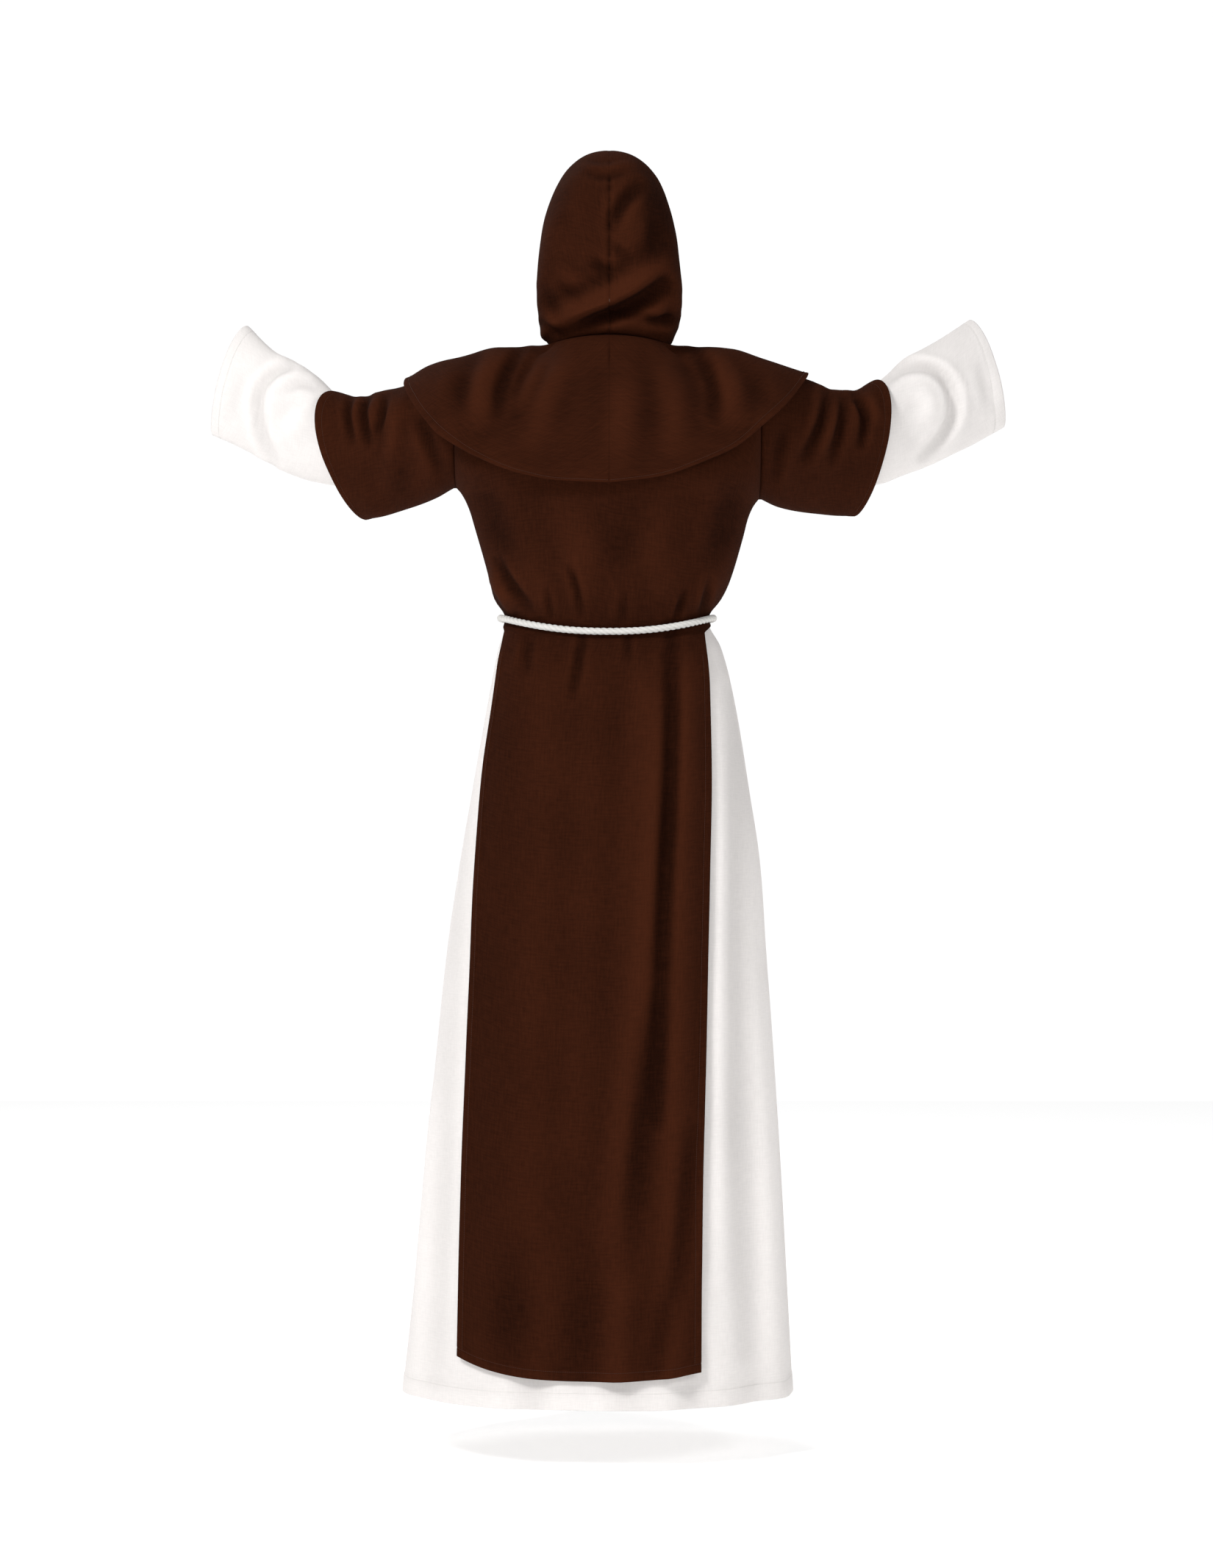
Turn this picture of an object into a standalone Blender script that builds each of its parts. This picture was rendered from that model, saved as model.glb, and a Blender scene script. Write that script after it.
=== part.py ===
"""A monk costume, filled out as it is worn, with no wearer.

White robe inside, brown tunic with a long front and back panel over it, a hooded shoulder cape
on top and a rope belt. Every cloth piece is a thin wall with open neck, cuffs, hem and face.
Metres, +Z up, +X to the wearer's right, -Y the wearer's back. The origin is the neck seat on the
shoulders. Run it with blender --background --python part.py, or from the text editor.
"""

import math

import bpy
import numpy as np

HALF = math.pi / 2

# Cloth, seams and layers
ROBE_CLOTH = 0.0015
BROWN_CLOTH = 0.0020
SEAM = 0.0006          # opening between the outer edges of two pieces sewn together
CLEAR = 0.0004         # air between two pieces that lie on each other
ROUNDNESS = 2.2        # 2 is an ellipse, more is a fuller section

# Body seams
ROBE_HEM = -1.475
ARMPIT = -0.2015       # height of the robe's armpit
ARMPIT_TILT = -0.008   # the right armpit hangs this much lower than the middle
ARMHOLE_LEFT = 0.2125
ARMHOLE_RIGHT = 0.2075
ARMHOLE_DEPTH = 0.0805
NECK_HALF_WIDTH = 0.076
NECK_SPREAD = 0.130    # the neck's curve widens by this much down to the armpit
NECK_BACK = 0.068
NECK_FRONT = 0.060
NECK_BACK_RISE = 0.008
NECK_FRONT_DROP = 0.030
BACK_BULGE = 0.036     # how far the shoulder blades push the middle of the back out
CHEST_BULGE = 0.030
NECK_EDGE = 0.5        # how round the neck's curve is at the neckline,
NECK_SOFTER = 0.7      # how much softer it becomes down the yoke,
NECK_SOFT_TURN = 60.0  # and by how many degrees down
YOKE_DROP = 1.3        # above 1 the yoke keeps close to the shoulder before it falls to the armpit

# Belt
BELT_HEIGHT = -0.383
BELT_SPREAD = 0.060    # height over which the cloth follows the belt's dip
BELT_DIP_BACK = 0.0230
BELT_DIP_FRONT = 0.006
ROPE = 0.011
TAIL_LENGTH = 0.40
TAIL_SPREAD = 0.016
TAIL_CURVE = 0.8       # below 1 the ends spread more near the knot than lower down
TAIL_START = 4.0       # an end reaches the panel after a quarter of its length
TAIL_OFF_PANEL = 0.014 # the ends hang this far off the panel's form, clear of its folds
KNOT_SIZE = (0.040, 0.026, 0.030)
TAIL_KNOT = 0.024

# Middles that the walls of the hood and of the cape face away from
HOOD_MIDDLE = (0.0, 0.0, 0.11)
CAPE_MIDDLE = (0.0, 0.0, -0.16)

# Outer surface of the robe: height, then how far it reaches left, right, back and front
ROBE_RINGS = (
    (ROBE_HEM, 0.293, 0.260, 0.200, 0.198),
    (-1.310, 0.275, 0.2515, 0.190, 0.186),
    (-1.150, 0.2595, 0.2425, 0.181, 0.176),
    (-1.000, 0.2455, 0.2315, 0.173, 0.167),
    (-0.865, 0.2315, 0.2225, 0.166, 0.158),
    (-0.730, 0.2120, 0.2120, 0.159, 0.148),
    (-0.600, 0.1895, 0.1945, 0.150, 0.138),
    (-0.485, 0.1690, 0.1745, 0.136, 0.124),
    (-0.425, 0.1570, 0.1585, 0.123, 0.114),
    (-0.383, 0.1452, 0.1386, 0.1107, 0.1037),
    (-0.357, 0.1590, 0.1540, 0.119, 0.110),
    (-0.329, 0.1660, 0.1665, 0.128, 0.116),
    (-0.262, 0.1860, 0.1855, 0.1415, 0.1235),
    (-0.224, 0.1985, 0.1950, 0.1448, 0.1272),
    (-0.2015, 0.2125, 0.2075, 0.1455, 0.1295),
)

# Shoulder line of the robe: distance from the middle, height
SHOULDER_LINE = (
    (0.000, -0.005),
    (0.070, -0.005),
    (0.100, -0.0055),
    (0.137, -0.0095),
    (0.175, -0.0135),
    (0.2125, -0.0255),
)

# Long panels of the tunic below the belt: height, left edge, right edge
BACK_PANEL = (
    (-1.425, -0.2095, 0.1255),
    (-1.240, -0.2075, 0.1270),
    (-0.970, -0.1980, 0.1340),
    (-0.750, -0.1890, 0.1390),
    (-0.600, -0.1780, 0.1420),
    (-0.485, -0.1615, 0.1400),
    (-0.425, -0.1530, 0.1360),
    (-0.391, -0.1465, 0.1330),
)
FRONT_PANEL = (
    (-1.425, -0.172, 0.164),
    (-0.970, -0.164, 0.156),
    (-0.600, -0.154, 0.146),
    (-0.425, -0.140, 0.132),
    (-0.391, -0.136, 0.128),
)
PANEL_HEM_SAG = 0.010  # the panel's hem hangs lower in the middle
# and higher at its left and right corner, on the back (-1) and the front (1)
PANEL_LIFT = {-1: (0.023, 0.008), 1: (0.008, 0.016)}
SAG_HEIGHT = 0.12      # over this height above the hem
SLIT_TOP = -0.392      # the panels leave each other at the sides below this height
SLIT_START = 0.016     # over this height

# How far the tunic stands off the robe: height, distance between the two outer surfaces
TUNIC_OUT = (
    (ROBE_HEM, 0.0070),
    (-0.435, 0.0070),
    (-0.403, 0.0062),
    (-0.391, 0.0034),
    (-0.375, 0.0027),
    (-0.345, 0.0045),
    (-0.020, 0.0045),
    (-0.002, 0.0026),
)

# Sleeves: distance of the ring's top from the middle, height of its top, distance and height of
# its bottom, how far it reaches forward, its half width, its turn towards the front in degrees
ROBE_SLEEVE_RIGHT = (
    (0.252, -0.040, 0.246, -0.200, 0.016, 0.066, 12.0),
    (0.290, -0.052, 0.285, -0.192, 0.030, 0.054, 22.0),
    (0.330, -0.063, 0.325, -0.187, 0.050, 0.046, 28.0),
    (0.380, -0.044, 0.380, -0.187, 0.075, 0.042, 30.0),
    (0.4326, -0.001, 0.426, -0.1715, 0.101, 0.040, 30.0),
    (0.4716, 0.0225, 0.4784, -0.1490, 0.122, 0.038, 30.0),
    (0.500, 0.041, 0.5250, -0.1260, 0.142, 0.036, 30.0),
    (0.527, 0.060, 0.5750, -0.0970, 0.165, 0.034, 30.0),
)
ROBE_SLEEVE_LEFT = (
    (0.256, -0.040, 0.250, -0.190, 0.016, 0.066, 12.0),
    (0.292, -0.058, 0.288, -0.190, 0.030, 0.054, 22.0),
    (0.335, -0.071, 0.330, -0.189, 0.050, 0.046, 28.0),
    (0.385, -0.064, 0.382, -0.189, 0.075, 0.042, 30.0),
    (0.4265, -0.026, 0.424, -0.1820, 0.098, 0.040, 30.0),
    (0.460, -0.004, 0.462, -0.1690, 0.118, 0.038, 30.0),
    (0.4861, 0.0102, 0.5189, -0.1375, 0.138, 0.036, 30.0),
    (0.5298, 0.0518, 0.578, -0.1080, 0.165, 0.034, 30.0),
)
TUNIC_SLEEVE_RIGHT = (
    (0.250, -0.032, 0.242, -0.224, 0.014, 0.080, 12.0),
    (0.284, -0.043, 0.270, -0.229, 0.028, 0.074, 22.0),
    (0.316, -0.0545, 0.298, -0.2315, 0.044, 0.068, 28.0),
    (0.348, -0.0538, 0.326, -0.233, 0.060, 0.064, 30.0),
    (0.3850, -0.036, 0.353, -0.232, 0.078, 0.062, 30.0),
)
TUNIC_SLEEVE_LEFT = (
    (0.252, -0.031, 0.248, -0.2105, 0.014, 0.080, 12.0),
    (0.288, -0.050, 0.280, -0.2225, 0.028, 0.074, 22.0),
    (0.3208, -0.0561, 0.304, -0.2291, 0.044, 0.068, 28.0),
    (0.354, -0.0625, 0.330, -0.235, 0.060, 0.066, 31.0),
    (0.398, -0.0524, 0.3515, -0.237, 0.080, 0.070, 36.0),
)
SLEEVE_TAPER = 0.30    # a hanging sleeve is narrower at its bottom than at the arm
TAPER_START = 0.10     # the taper grows over this much of the sleeve
TAPER_POWER = 1.5      # above 1 the taper keeps to the bottom
CREASE_START = 0.030   # creases grow over this much of the sleeve

# Cape hem: share of the way from the back middle over the tip to the front middle, distance
# from the middle, degrees down from the shoulder line (back plus, front minus)
CAPE_HEM_LEFT = (
    (0.000, 0.0000, 154.0),
    (0.080, 0.0680, 153.0),
    (0.145, 0.1250, 144.0),
    (0.210, 0.1800, 127.5),
    (0.270, 0.2245, 109.0),
    (0.335, 0.2430, 87.5),
    (0.400, 0.2620, 60.0),
    (0.450, 0.2770, 30.0),
    (0.500, 0.2835, 0.0),
    (0.550, 0.2770, -30.0),
    (0.600, 0.2620, -54.0),
    (0.665, 0.2430, -76.0),
    (0.730, 0.2240, -95.0),
    (0.790, 0.1800, -116.0),
    (0.855, 0.1250, -133.0),
    (0.920, 0.0680, -147.0),
    (1.000, 0.0000, -155.0),
)
CAPE_HEM_RIGHT = (
    (0.000, 0.0000, 154.0),
    (0.080, 0.0680, 143.5),
    (0.145, 0.1250, 127.5),
    (0.210, 0.1800, 109.5),
    (0.270, 0.2220, 85.0),
    (0.335, 0.2410, 65.5),
    (0.400, 0.2600, 41.0),
    (0.450, 0.2730, 20.0),
    (0.500, 0.2800, 0.0),
    (0.550, 0.2730, -22.0),
    (0.600, 0.2610, -45.0),
    (0.665, 0.2420, -70.0),
    (0.730, 0.2230, -92.0),
    (0.790, 0.1800, -114.0),
    (0.855, 0.1250, -131.0),
    (0.920, 0.0680, -146.0),
    (1.000, 0.0000, -155.0),
)
CAPE_HEM = {-1: CAPE_HEM_LEFT, 1: CAPE_HEM_RIGHT}
CAPE_NECK_OUT = 0.0080  # outer surface of the cape above the robe's, at the neck
CAPE_HEM_OUT = 0.0130   # and at its hem
CAPE_BRIDGE = 0.055     # the cape spans the armhole's dent this far out onto the sleeve
CAPE_SHOULDER = 0.35    # share of the cape's length that spans from the neck to the shoulder
CAPE_SHOULDER_REACH = 0.045   # how far past the neckline the cape then is at its side
CAPE_SHOULDER_TURN = 60.0     # and how many degrees down the back and front at their middles
CAPE_LIFT = 1.6        # the cape reaches its stand-off at the hem after 1 / 1.6 of its length
SLOPE_STEP = 0.01       # step over which the cape's slope at the shoulder is measured
FOLD_FADE = 3.0        # its folds are full after a third of its length

# Hood: the halves fan out from the throat. Degrees up from the neck, reach, half width
HOOD_AXIS_Y = 0.058
HOOD_AXIS_Z = -0.010
HOOD_RINGS = (
    (9.0, 0.140, 0.0800),
    (15.0, 0.158, 0.0885),
    (22.0, 0.172, 0.0945),
    (32.0, 0.209, 0.1010),
    (41.0, 0.244, 0.1025),
    (51.0, 0.275, 0.1015),
    (62.5, 0.293, 0.0990),
    (74.0, 0.298, 0.0945),
    (86.0, 0.285, 0.0900),
    (98.0, 0.262, 0.0855),
)
HOOD_END_TURN = 129.0   # where a section of the hood ends at the throat
THROAT_TURN = 50.0      # where the hood ends on the neck seam
HOOD_FULLNESS = 2.25
HOOD_GATHER = 0.16      # share of the hood over which the neck seam draws it in
HOOD_FOLD_FADE = 8.0    # its folds are full after an eighth of it

# Folds of the skirt: degrees from the back middle (right plus), half width in degrees,
# height of the ridge (a trough is minus), height at which it begins below the belt
SKIRT_FOLDS = (
    (-150.0, 13.0, 0.010, -0.60),
    (-118.0, 12.0, -0.008, -0.80),
    (-62.0, 10.0, -0.006, -0.95),
    (-28.0, 12.0, 0.008, -0.70),
    (8.0, 12.0, 0.009, -0.62),
    (52.0, 9.0, -0.010, -0.60),
    (66.0, 8.0, 0.006, -0.75),
    (116.0, 12.0, -0.009, -0.72),
    (142.0, 11.0, 0.009, -0.60),
    (176.0, 12.0, 0.008, -0.75),
)

# Folds of the long panels: across at the belt and at the hem, half width, height, where it ends
PANEL_FOLDS_BACK = (
    (-0.085, -0.120, 0.030, 0.005, -1.40),
    (-0.020, -0.060, 0.026, 0.006, -1.10),
    (0.045, -0.015, 0.024, 0.007, -1.42),
    (0.115, 0.075, 0.018, 0.008, -1.42),
)
PANEL_FOLDS_FRONT = (
    (-0.100, -0.130, 0.026, 0.006, -1.42),
    (-0.035, -0.050, 0.024, 0.005, -1.20),
    (0.050, 0.070, 0.026, 0.007, -1.42),
    (0.105, 0.130, 0.020, 0.005, -1.42),
)

FOLD_START = 0.10      # the long folds grow over this height below the belt
FOLD_END = 0.12        # and fade over this height at their ends

# Soft gathers where the belt draws the tunic in: across, half width, height
BLOUSE_FOLDS = (
    (-0.118, 0.012, 0.007),
    (-0.078, 0.014, 0.005),
    (-0.030, 0.012, 0.006),
    (0.012, 0.012, 0.004),
    (0.060, 0.013, 0.006),
    (0.108, 0.012, 0.007),
)

# Folds of the hood seen from behind: from x, z to x, z, half width, height
HOOD_FOLDS = (
    (0.003, 0.155, 0.042, 0.216, 0.016, -0.005),
    (-0.028, 0.108, 0.000, 0.092, 0.014, -0.005),
    (-0.090, 0.075, -0.055, 0.020, 0.014, -0.006),
    (-0.050, 0.030, 0.002, 0.056, 0.014, -0.010),
    (0.002, 0.056, 0.086, 0.105, 0.015, -0.010),
    (-0.020, 0.026, 0.080, 0.016, 0.010, 0.004),
)

# Folds of the cape seen from behind
CAPE_FOLDS = (
    (-0.158, -0.008, -0.172, -0.100, 0.016, 0.004),
    (-0.075, -0.010, -0.100, -0.130, 0.018, 0.004),
    (0.020, -0.040, 0.010, -0.180, 0.020, 0.003),
    (0.070, -0.010, 0.085, -0.150, 0.018, 0.004),
    (0.145, -0.015, 0.165, -0.110, 0.016, 0.004),
)

# Creases of the sleeves seen from behind
SLEEVE_FOLDS = {
    ("robe", -1): (
        (-0.440, 0.000, -0.515, -0.020, 0.012, -0.007),
        (-0.515, -0.020, -0.520, -0.085, 0.012, -0.006),
        (-0.455, -0.040, -0.505, -0.090, 0.014, 0.004),
    ),
    ("robe", 1): (
        (0.400, -0.030, 0.442, -0.014, 0.012, -0.006),
        (0.442, -0.014, 0.500, -0.050, 0.012, -0.007),
        (0.500, -0.050, 0.505, -0.100, 0.013, -0.006),
    ),
    ("tunic", -1): (
        (-0.300, -0.070, -0.290, -0.170, 0.014, -0.006),
        (-0.335, -0.080, -0.322, -0.160, 0.014, 0.004),
        (-0.250, -0.180, -0.310, -0.190, 0.014, -0.005),
    ),
    ("tunic", 1): (
        (0.300, -0.070, 0.288, -0.170, 0.014, -0.006),
        (0.340, -0.080, 0.326, -0.170, 0.014, 0.004),
        (0.245, -0.180, 0.305, -0.195, 0.014, -0.005),
    ),
}

SLEEVE_SPAN = (0.2, 0.6)       # a sleeve runs between these distances from the middle
SLEEVE_FORWARD = (0.0, 0.2)    # and its middle then lies this far forward

BLOUSE_RISE = 0.030    # the gathers grow over this height above the belt
BLOUSE_TOP = -0.26     # and have faded at this height
BLOUSE_FADE = 0.08

# Steps across a panel, in degrees from its middle, and up the yoke, in degrees of the armhole
PANEL_STEPS = (-90.0, -87.0, -76.0, -61.0, -46.0, -31.0, -15.5,
               0.0, 15.5, 31.0, 46.0, 61.0, 76.0, 87.0, 90.0)
YOKE_STEPS = (180.0, 160.0, 140.0, 120.0, 100.0, 80.0, 60.0, 40.0, 20.0, 5.0, 0.0)
SKIRT_ROWS = (ROBE_HEM, -1.465, -1.36, -1.24, -1.12, -1.00, -0.88, -0.76, -0.65, -0.56, -0.485)
PANEL_ROWS = (-1.425, -1.415, -1.33, -1.22, -1.10, -0.98, -0.86, -0.75, -0.65, -0.56, -0.485)
WAIST_ROWS = (-0.433, -0.418, -0.403, -0.391, -0.383, -0.375, -0.361, -0.332, -0.293, -0.245)
CAPE_ROWS = (0.0, 0.03, 0.12, 0.23, CAPE_SHOULDER, 0.48, 0.61, 0.74, 0.86, 0.97, 1.0)
CAPE_COLUMNS = 23
HOOD_ROWS = (0.0, *np.linspace(0.055, 0.97, 13), 1.0)
HOOD_COLUMNS = (0.0, 0.02, *np.linspace(0.10, 1.0, 11))
SLIT_ROWS = (-0.408, -0.4055, -0.4005, -0.398, -0.3955)   # where the slits begin
EDGE_LIMIT = 0.995     # a panel's edge stays this side of the body's side seam
RING_STEPS = 18
ROBE_SLEEVE_RINGS = 13
TUNIC_SLEEVE_RINGS = 8
BELT_STEPS = 64
BALL_SEGMENTS = 12
BALL_RINGS = 8
TAIL_STEPS = 17
EVEN_SHARE = 0.75      # how soon up the yoke the steps are even in width
SEAM_BAND = 0.004      # a narrow straight band beside a seam, so that the walls there line up


def smooth_curve(knots, values, at):
    """Smooth curve through (knots, values) that never overshoots; beyond the ends it holds."""
    knots = np.asarray(knots, float)
    values = np.asarray(values, float)
    order = np.argsort(knots)
    knots, values = knots[order], values[order]
    span = np.diff(knots)
    slope = np.diff(values) / span
    tangent = np.zeros(len(knots))
    same = slope[:-1] * slope[1:] > 0
    total = np.where(same, slope[:-1] + slope[1:], 1.0)
    tangent[1:-1] = np.where(same, 2 * slope[:-1] * slope[1:] / total, 0.0)
    tangent[0], tangent[-1] = slope[0], slope[-1]
    at = np.clip(np.asarray(at, float), knots[0], knots[-1])
    i = np.clip(np.searchsorted(knots, at) - 1, 0, len(span) - 1)
    t = (at - knots[i]) / span[i]
    return (values[i] * (1 + 2 * t) * (1 - t) ** 2
            + values[i + 1] * t * t * (3 - 2 * t)
            + span[i] * (tangent[i] * t * (1 - t) ** 2 - tangent[i + 1] * t * t * (1 - t)))


def column(table, number, at):
    """Value of one column of a table at the given value of its first column."""
    rows = np.asarray(table, float)
    return smooth_curve(rows[:, 0], rows[:, number], at)


def ease(t):
    """0 to 1 with level ends."""
    t = np.clip(t, 0.0, 1.0)
    return t * t * (3 - 2 * t)


def section(angle, fullness=ROUNDNESS):
    """Across and deep shares of a rounded section, at an angle from its middle."""
    across = np.sign(np.sin(angle)) * np.abs(np.sin(angle)) ** (2 / fullness)
    deep = np.sign(np.cos(angle)) * np.abs(np.cos(angle)) ** (2 / fullness)
    return across, deep


def normals(grid):
    """Unit normals of a grid of points, from the steps to its neighbours."""
    down = np.gradient(grid, axis=0)
    along = np.gradient(grid, axis=1)
    normal = np.cross(down, along)
    length = np.linalg.norm(normal, axis=-1, keepdims=True)
    return normal / np.maximum(length, 1e-12)


def crease(grid, fold):
    """A soft ridge or trough along a straight line seen from behind, fading at its ends."""
    x0, z0, x1, z1, half_width, height = fold
    px = grid[..., 0] - x0
    pz = grid[..., 2] - z0
    length = math.hypot(x1 - x0, z1 - z0)
    along = (px * (x1 - x0) + pz * (z1 - z0)) / length
    aside = (px * (z1 - z0) - pz * (x1 - x0)) / length
    past = np.maximum(np.maximum(-along, along - length), 0.0)
    on_back = grid[..., 1] < np.interp(np.abs(grid[..., 0]), SLEEVE_SPAN, SLEEVE_FORWARD)
    return height * np.exp(-(aside ** 2 + past ** 2) / half_width ** 2) * on_back


def skirt_fold(face, across_angle, height):
    """How far the skirt's folds stand out at an angle from the middle of the front or back."""
    turn = np.degrees(across_angle)
    if face > 0:
        turn = np.where(turn >= 0, 180.0 - turn, -180.0 - turn)
    out = np.zeros(np.broadcast(turn, height).shape)
    for centre, half_width, size, top in SKIRT_FOLDS:
        away = (turn - centre + 180.0) % 360.0 - 180.0
        grown = ease((top - height) / (top - ROBE_HEM))
        out = out + size * grown * np.exp(-(away / half_width) ** 2)
    return out


def body_below(face, angle, height, out):
    """Rings of the body from hem to armpit. face is -1 for the back and 1 for the front."""
    across, deep = section(angle)
    left = column(ROBE_RINGS, 1, height) + out
    right = column(ROBE_RINGS, 2, height) + out
    depth = column(ROBE_RINGS, 3 if face < 0 else 4, height) + out
    half = np.where(across < 0, left, right)
    fold = skirt_fold(face, angle, height)
    nx = across * depth
    ny = deep * half
    size = np.maximum(np.hypot(nx, ny), 1e-9)
    x = across * half + fold * nx / size
    y = face * (deep * depth + fold * ny / size + SEAM / 2)
    dip = BELT_DIP_BACK if face < 0 else BELT_DIP_FRONT
    near_belt = np.exp(-((height - BELT_HEIGHT) / BELT_SPREAD) ** 2)
    up_to_armpit = ease((height - BELT_HEIGHT) / (ARMPIT - BELT_HEIGHT))
    z = height - dip * np.cos(angle) ** 2 * near_belt + ARMPIT_TILT * across * up_to_armpit
    return np.stack(np.broadcast_arrays(x, y, z), axis=-1)


def neck_share(x, turn, out):
    """1 at the middle of the neckline and 0 beyond it; wider and softer down the yoke."""
    reach = NECK_HALF_WIDTH + out + NECK_SPREAD * (1 - np.cos(turn)) / 2
    inside = np.clip(1 - (x / reach) ** 2, 0, 1)
    return inside ** (NECK_EDGE + NECK_SOFTER * ease(turn / math.radians(NECK_SOFT_TURN)))


def shoulder_height(face, x, out):
    """Height of the shoulder line, with the neckline's rise at the back and drop at the front."""
    line = column(SHOULDER_LINE, 1, np.abs(x))
    middle = NECK_BACK_RISE if face < 0 else -NECK_FRONT_DROP
    return line + middle * neck_share(x, 0.0, out) ** 2 + out


def body_above(face, across, turn, out, bridge=0.0):
    """The yoke from the armpit (turn 180 degrees) to the shoulder line (turn 0)."""
    half = np.where(across < 0, ARMHOLE_LEFT, ARMHOLE_RIGHT) + out
    x = across * half
    deep = np.clip(1 - (np.abs(x) / (half + bridge)) ** ROUNDNESS, 0, 1) ** (1 / ROUNDNESS)
    high = (1 + np.cos(turn)) / 2
    low = 1 - high
    neck = neck_share(x, turn, out)
    bulge = BACK_BULGE if face < 0 else CHEST_BULGE
    bulge = bulge + (ARMHOLE_DEPTH - bulge) * across ** 2
    depth = column(ROBE_RINGS, 3 if face < 0 else 4, ARMPIT)
    reach = neck * (NECK_BACK if face < 0 else NECK_FRONT) * high
    reach = reach + bulge * np.sin(turn) + depth * deep * low ** YOKE_DROP
    layer = np.sqrt(np.sin(turn) ** 2 + (deep * low) ** 2 + (neck * high) ** 2)
    y = face * (reach + out * np.minimum(layer, 1.0) + SEAM / 2)
    armpit = ARMPIT + ARMPIT_TILT * across - out
    z = shoulder_height(face, x, out) * high + armpit * low
    return np.stack(np.broadcast_arrays(x, y, z), axis=-1)


def yoke(face, out):
    """Grid of the yoke: steps even in angle at the armpit and even in width at the shoulder."""
    angle = np.radians(PANEL_STEPS)[None, :]
    turn = np.radians(YOKE_STEPS)[:, None]
    even = ease(EVEN_SHARE * (1 + np.cos(turn)))
    across = section(angle)[0] * (1 - even) + angle / HALF * even
    return body_above(face, across, turn, out)


def tunic_out(z):
    """How far the tunic's outer surface stands off the robe's at a height."""
    return column(TUNIC_OUT, 1, z)


def armhole_row(side, out):
    """Ring row of the sleeve table at the armhole, so that sleeve and body share one opening."""
    armhole = (ARMHOLE_RIGHT if side > 0 else ARMHOLE_LEFT) + out
    top = float(shoulder_height(-1, np.array(armhole), out))
    bottom = ARMPIT + ARMPIT_TILT * side - out
    reach = armhole + SEAM_BAND
    return (reach, top, reach, bottom, 0.0, ARMHOLE_DEPTH + out, 0.0)


def sleeve_ring(side, rows, reach, turn, out=0.0):
    """Rings of a sleeve: turn 0 is its top, plus is its back, minus is its front."""
    top_z = column(rows, 1, reach) + out
    bottom_x = column(rows, 2, reach)
    bottom_z = column(rows, 3, reach) - out
    forward = column(rows, 4, reach)
    half_width = column(rows, 5, reach) + out
    yaw = np.radians(column(rows, 6, reach))
    lean = (reach - bottom_x) / 2
    tall = (top_z - bottom_z) / 2
    share = ease((reach - rows[0][0]) / TAPER_START)
    narrow = 1 - SLEEVE_TAPER * share * ((1 - np.cos(turn)) / 2) ** TAPER_POWER
    wide = half_width * narrow * np.sin(turn)
    x = side * ((reach + bottom_x) / 2 + lean * np.cos(turn) + wide * np.sin(yaw))
    y = forward - wide * np.cos(yaw)
    z = (top_z + bottom_z) / 2 + tall * np.cos(turn)
    return np.stack(np.broadcast_arrays(x, y, z), axis=-1)


def displace(grid, amount, inside):
    """Moves the points of a grid along its normals, away from a point inside."""
    normal = normals(grid)
    away = np.sign(np.sum(normal * (grid - inside), axis=-1, keepdims=True))
    return grid + normal * away * amount[..., None]


def sleeve_grid(kind, side, steps):
    """Whole sleeve from the armhole to the cuff, as a closed tube of rings."""
    tables = {
        ("robe", 1): ROBE_SLEEVE_RIGHT, ("robe", -1): ROBE_SLEEVE_LEFT,
        ("tunic", 1): TUNIC_SLEEVE_RIGHT, ("tunic", -1): TUNIC_SLEEVE_LEFT,
    }
    out = 0.0 if kind == "robe" else float(tunic_out(ARMPIT))
    rows = (armhole_row(side, out),) + tables[kind, side]
    start, end = rows[0][0], rows[-1][0]
    reach = np.linspace(start, end, steps)
    turn = np.radians(np.linspace(0, 360, RING_STEPS + 1)[:-1])
    turn = np.where(turn > math.pi, turn - 2 * math.pi, turn)
    grid = sleeve_ring(side, rows, reach[:, None], turn[None, :])
    middle = grid.mean(axis=1, keepdims=True)
    fade = ease((reach - start) / CREASE_START)[:, None]
    amount = sum(crease(grid, fold) for fold in SLEEVE_FOLDS[kind, side]) * fade
    wrapped = np.concatenate((grid[:, -1:], grid, grid[:, :1]), axis=1)
    normal = normals(wrapped)[:, 1:-1]
    away = np.sign(np.sum(normal * (grid - middle), axis=-1, keepdims=True))
    grid = grid + normal * away * amount[..., None]
    first = grid[0] - np.array((side * (SEAM_BAND - SEAM), 0, 0))
    return np.concatenate((first[None], grid), axis=0)


def panel_angles(edges, rows, out):
    """Angles of a panel's steps: whole half rings above the belt, between its edges below."""
    steps = np.radians(PANEL_STEPS)[None, :]
    heights = np.asarray(rows)[:, None]
    share = (steps + HALF) / math.pi
    halves = (column(ROBE_RINGS, 1, heights) + out, column(ROBE_RINGS, 2, heights) + out)
    limits = []
    for number, side in ((1, -1), (2, 1)):
        across = np.clip(np.abs(column(edges, number, heights)) / halves[number - 1], 0, EDGE_LIMIT)
        limits.append(side * np.arcsin(across ** (ROUNDNESS / 2)))
    below = limits[0] + (limits[1] - limits[0]) * share
    open_side = ease((SLIT_TOP - heights) / SLIT_START)
    return steps + (below - steps) * open_side


def robe_panel(face):
    """Front or back of the robe, hem to shoulder seam."""
    heights = np.asarray(SKIRT_ROWS + WAIST_ROWS)[:, None]
    angles = np.radians(PANEL_STEPS)[None, :]
    below = body_below(face, angles, heights, 0.0)
    return np.concatenate((below, yoke(face, 0.0)), axis=0)


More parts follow.
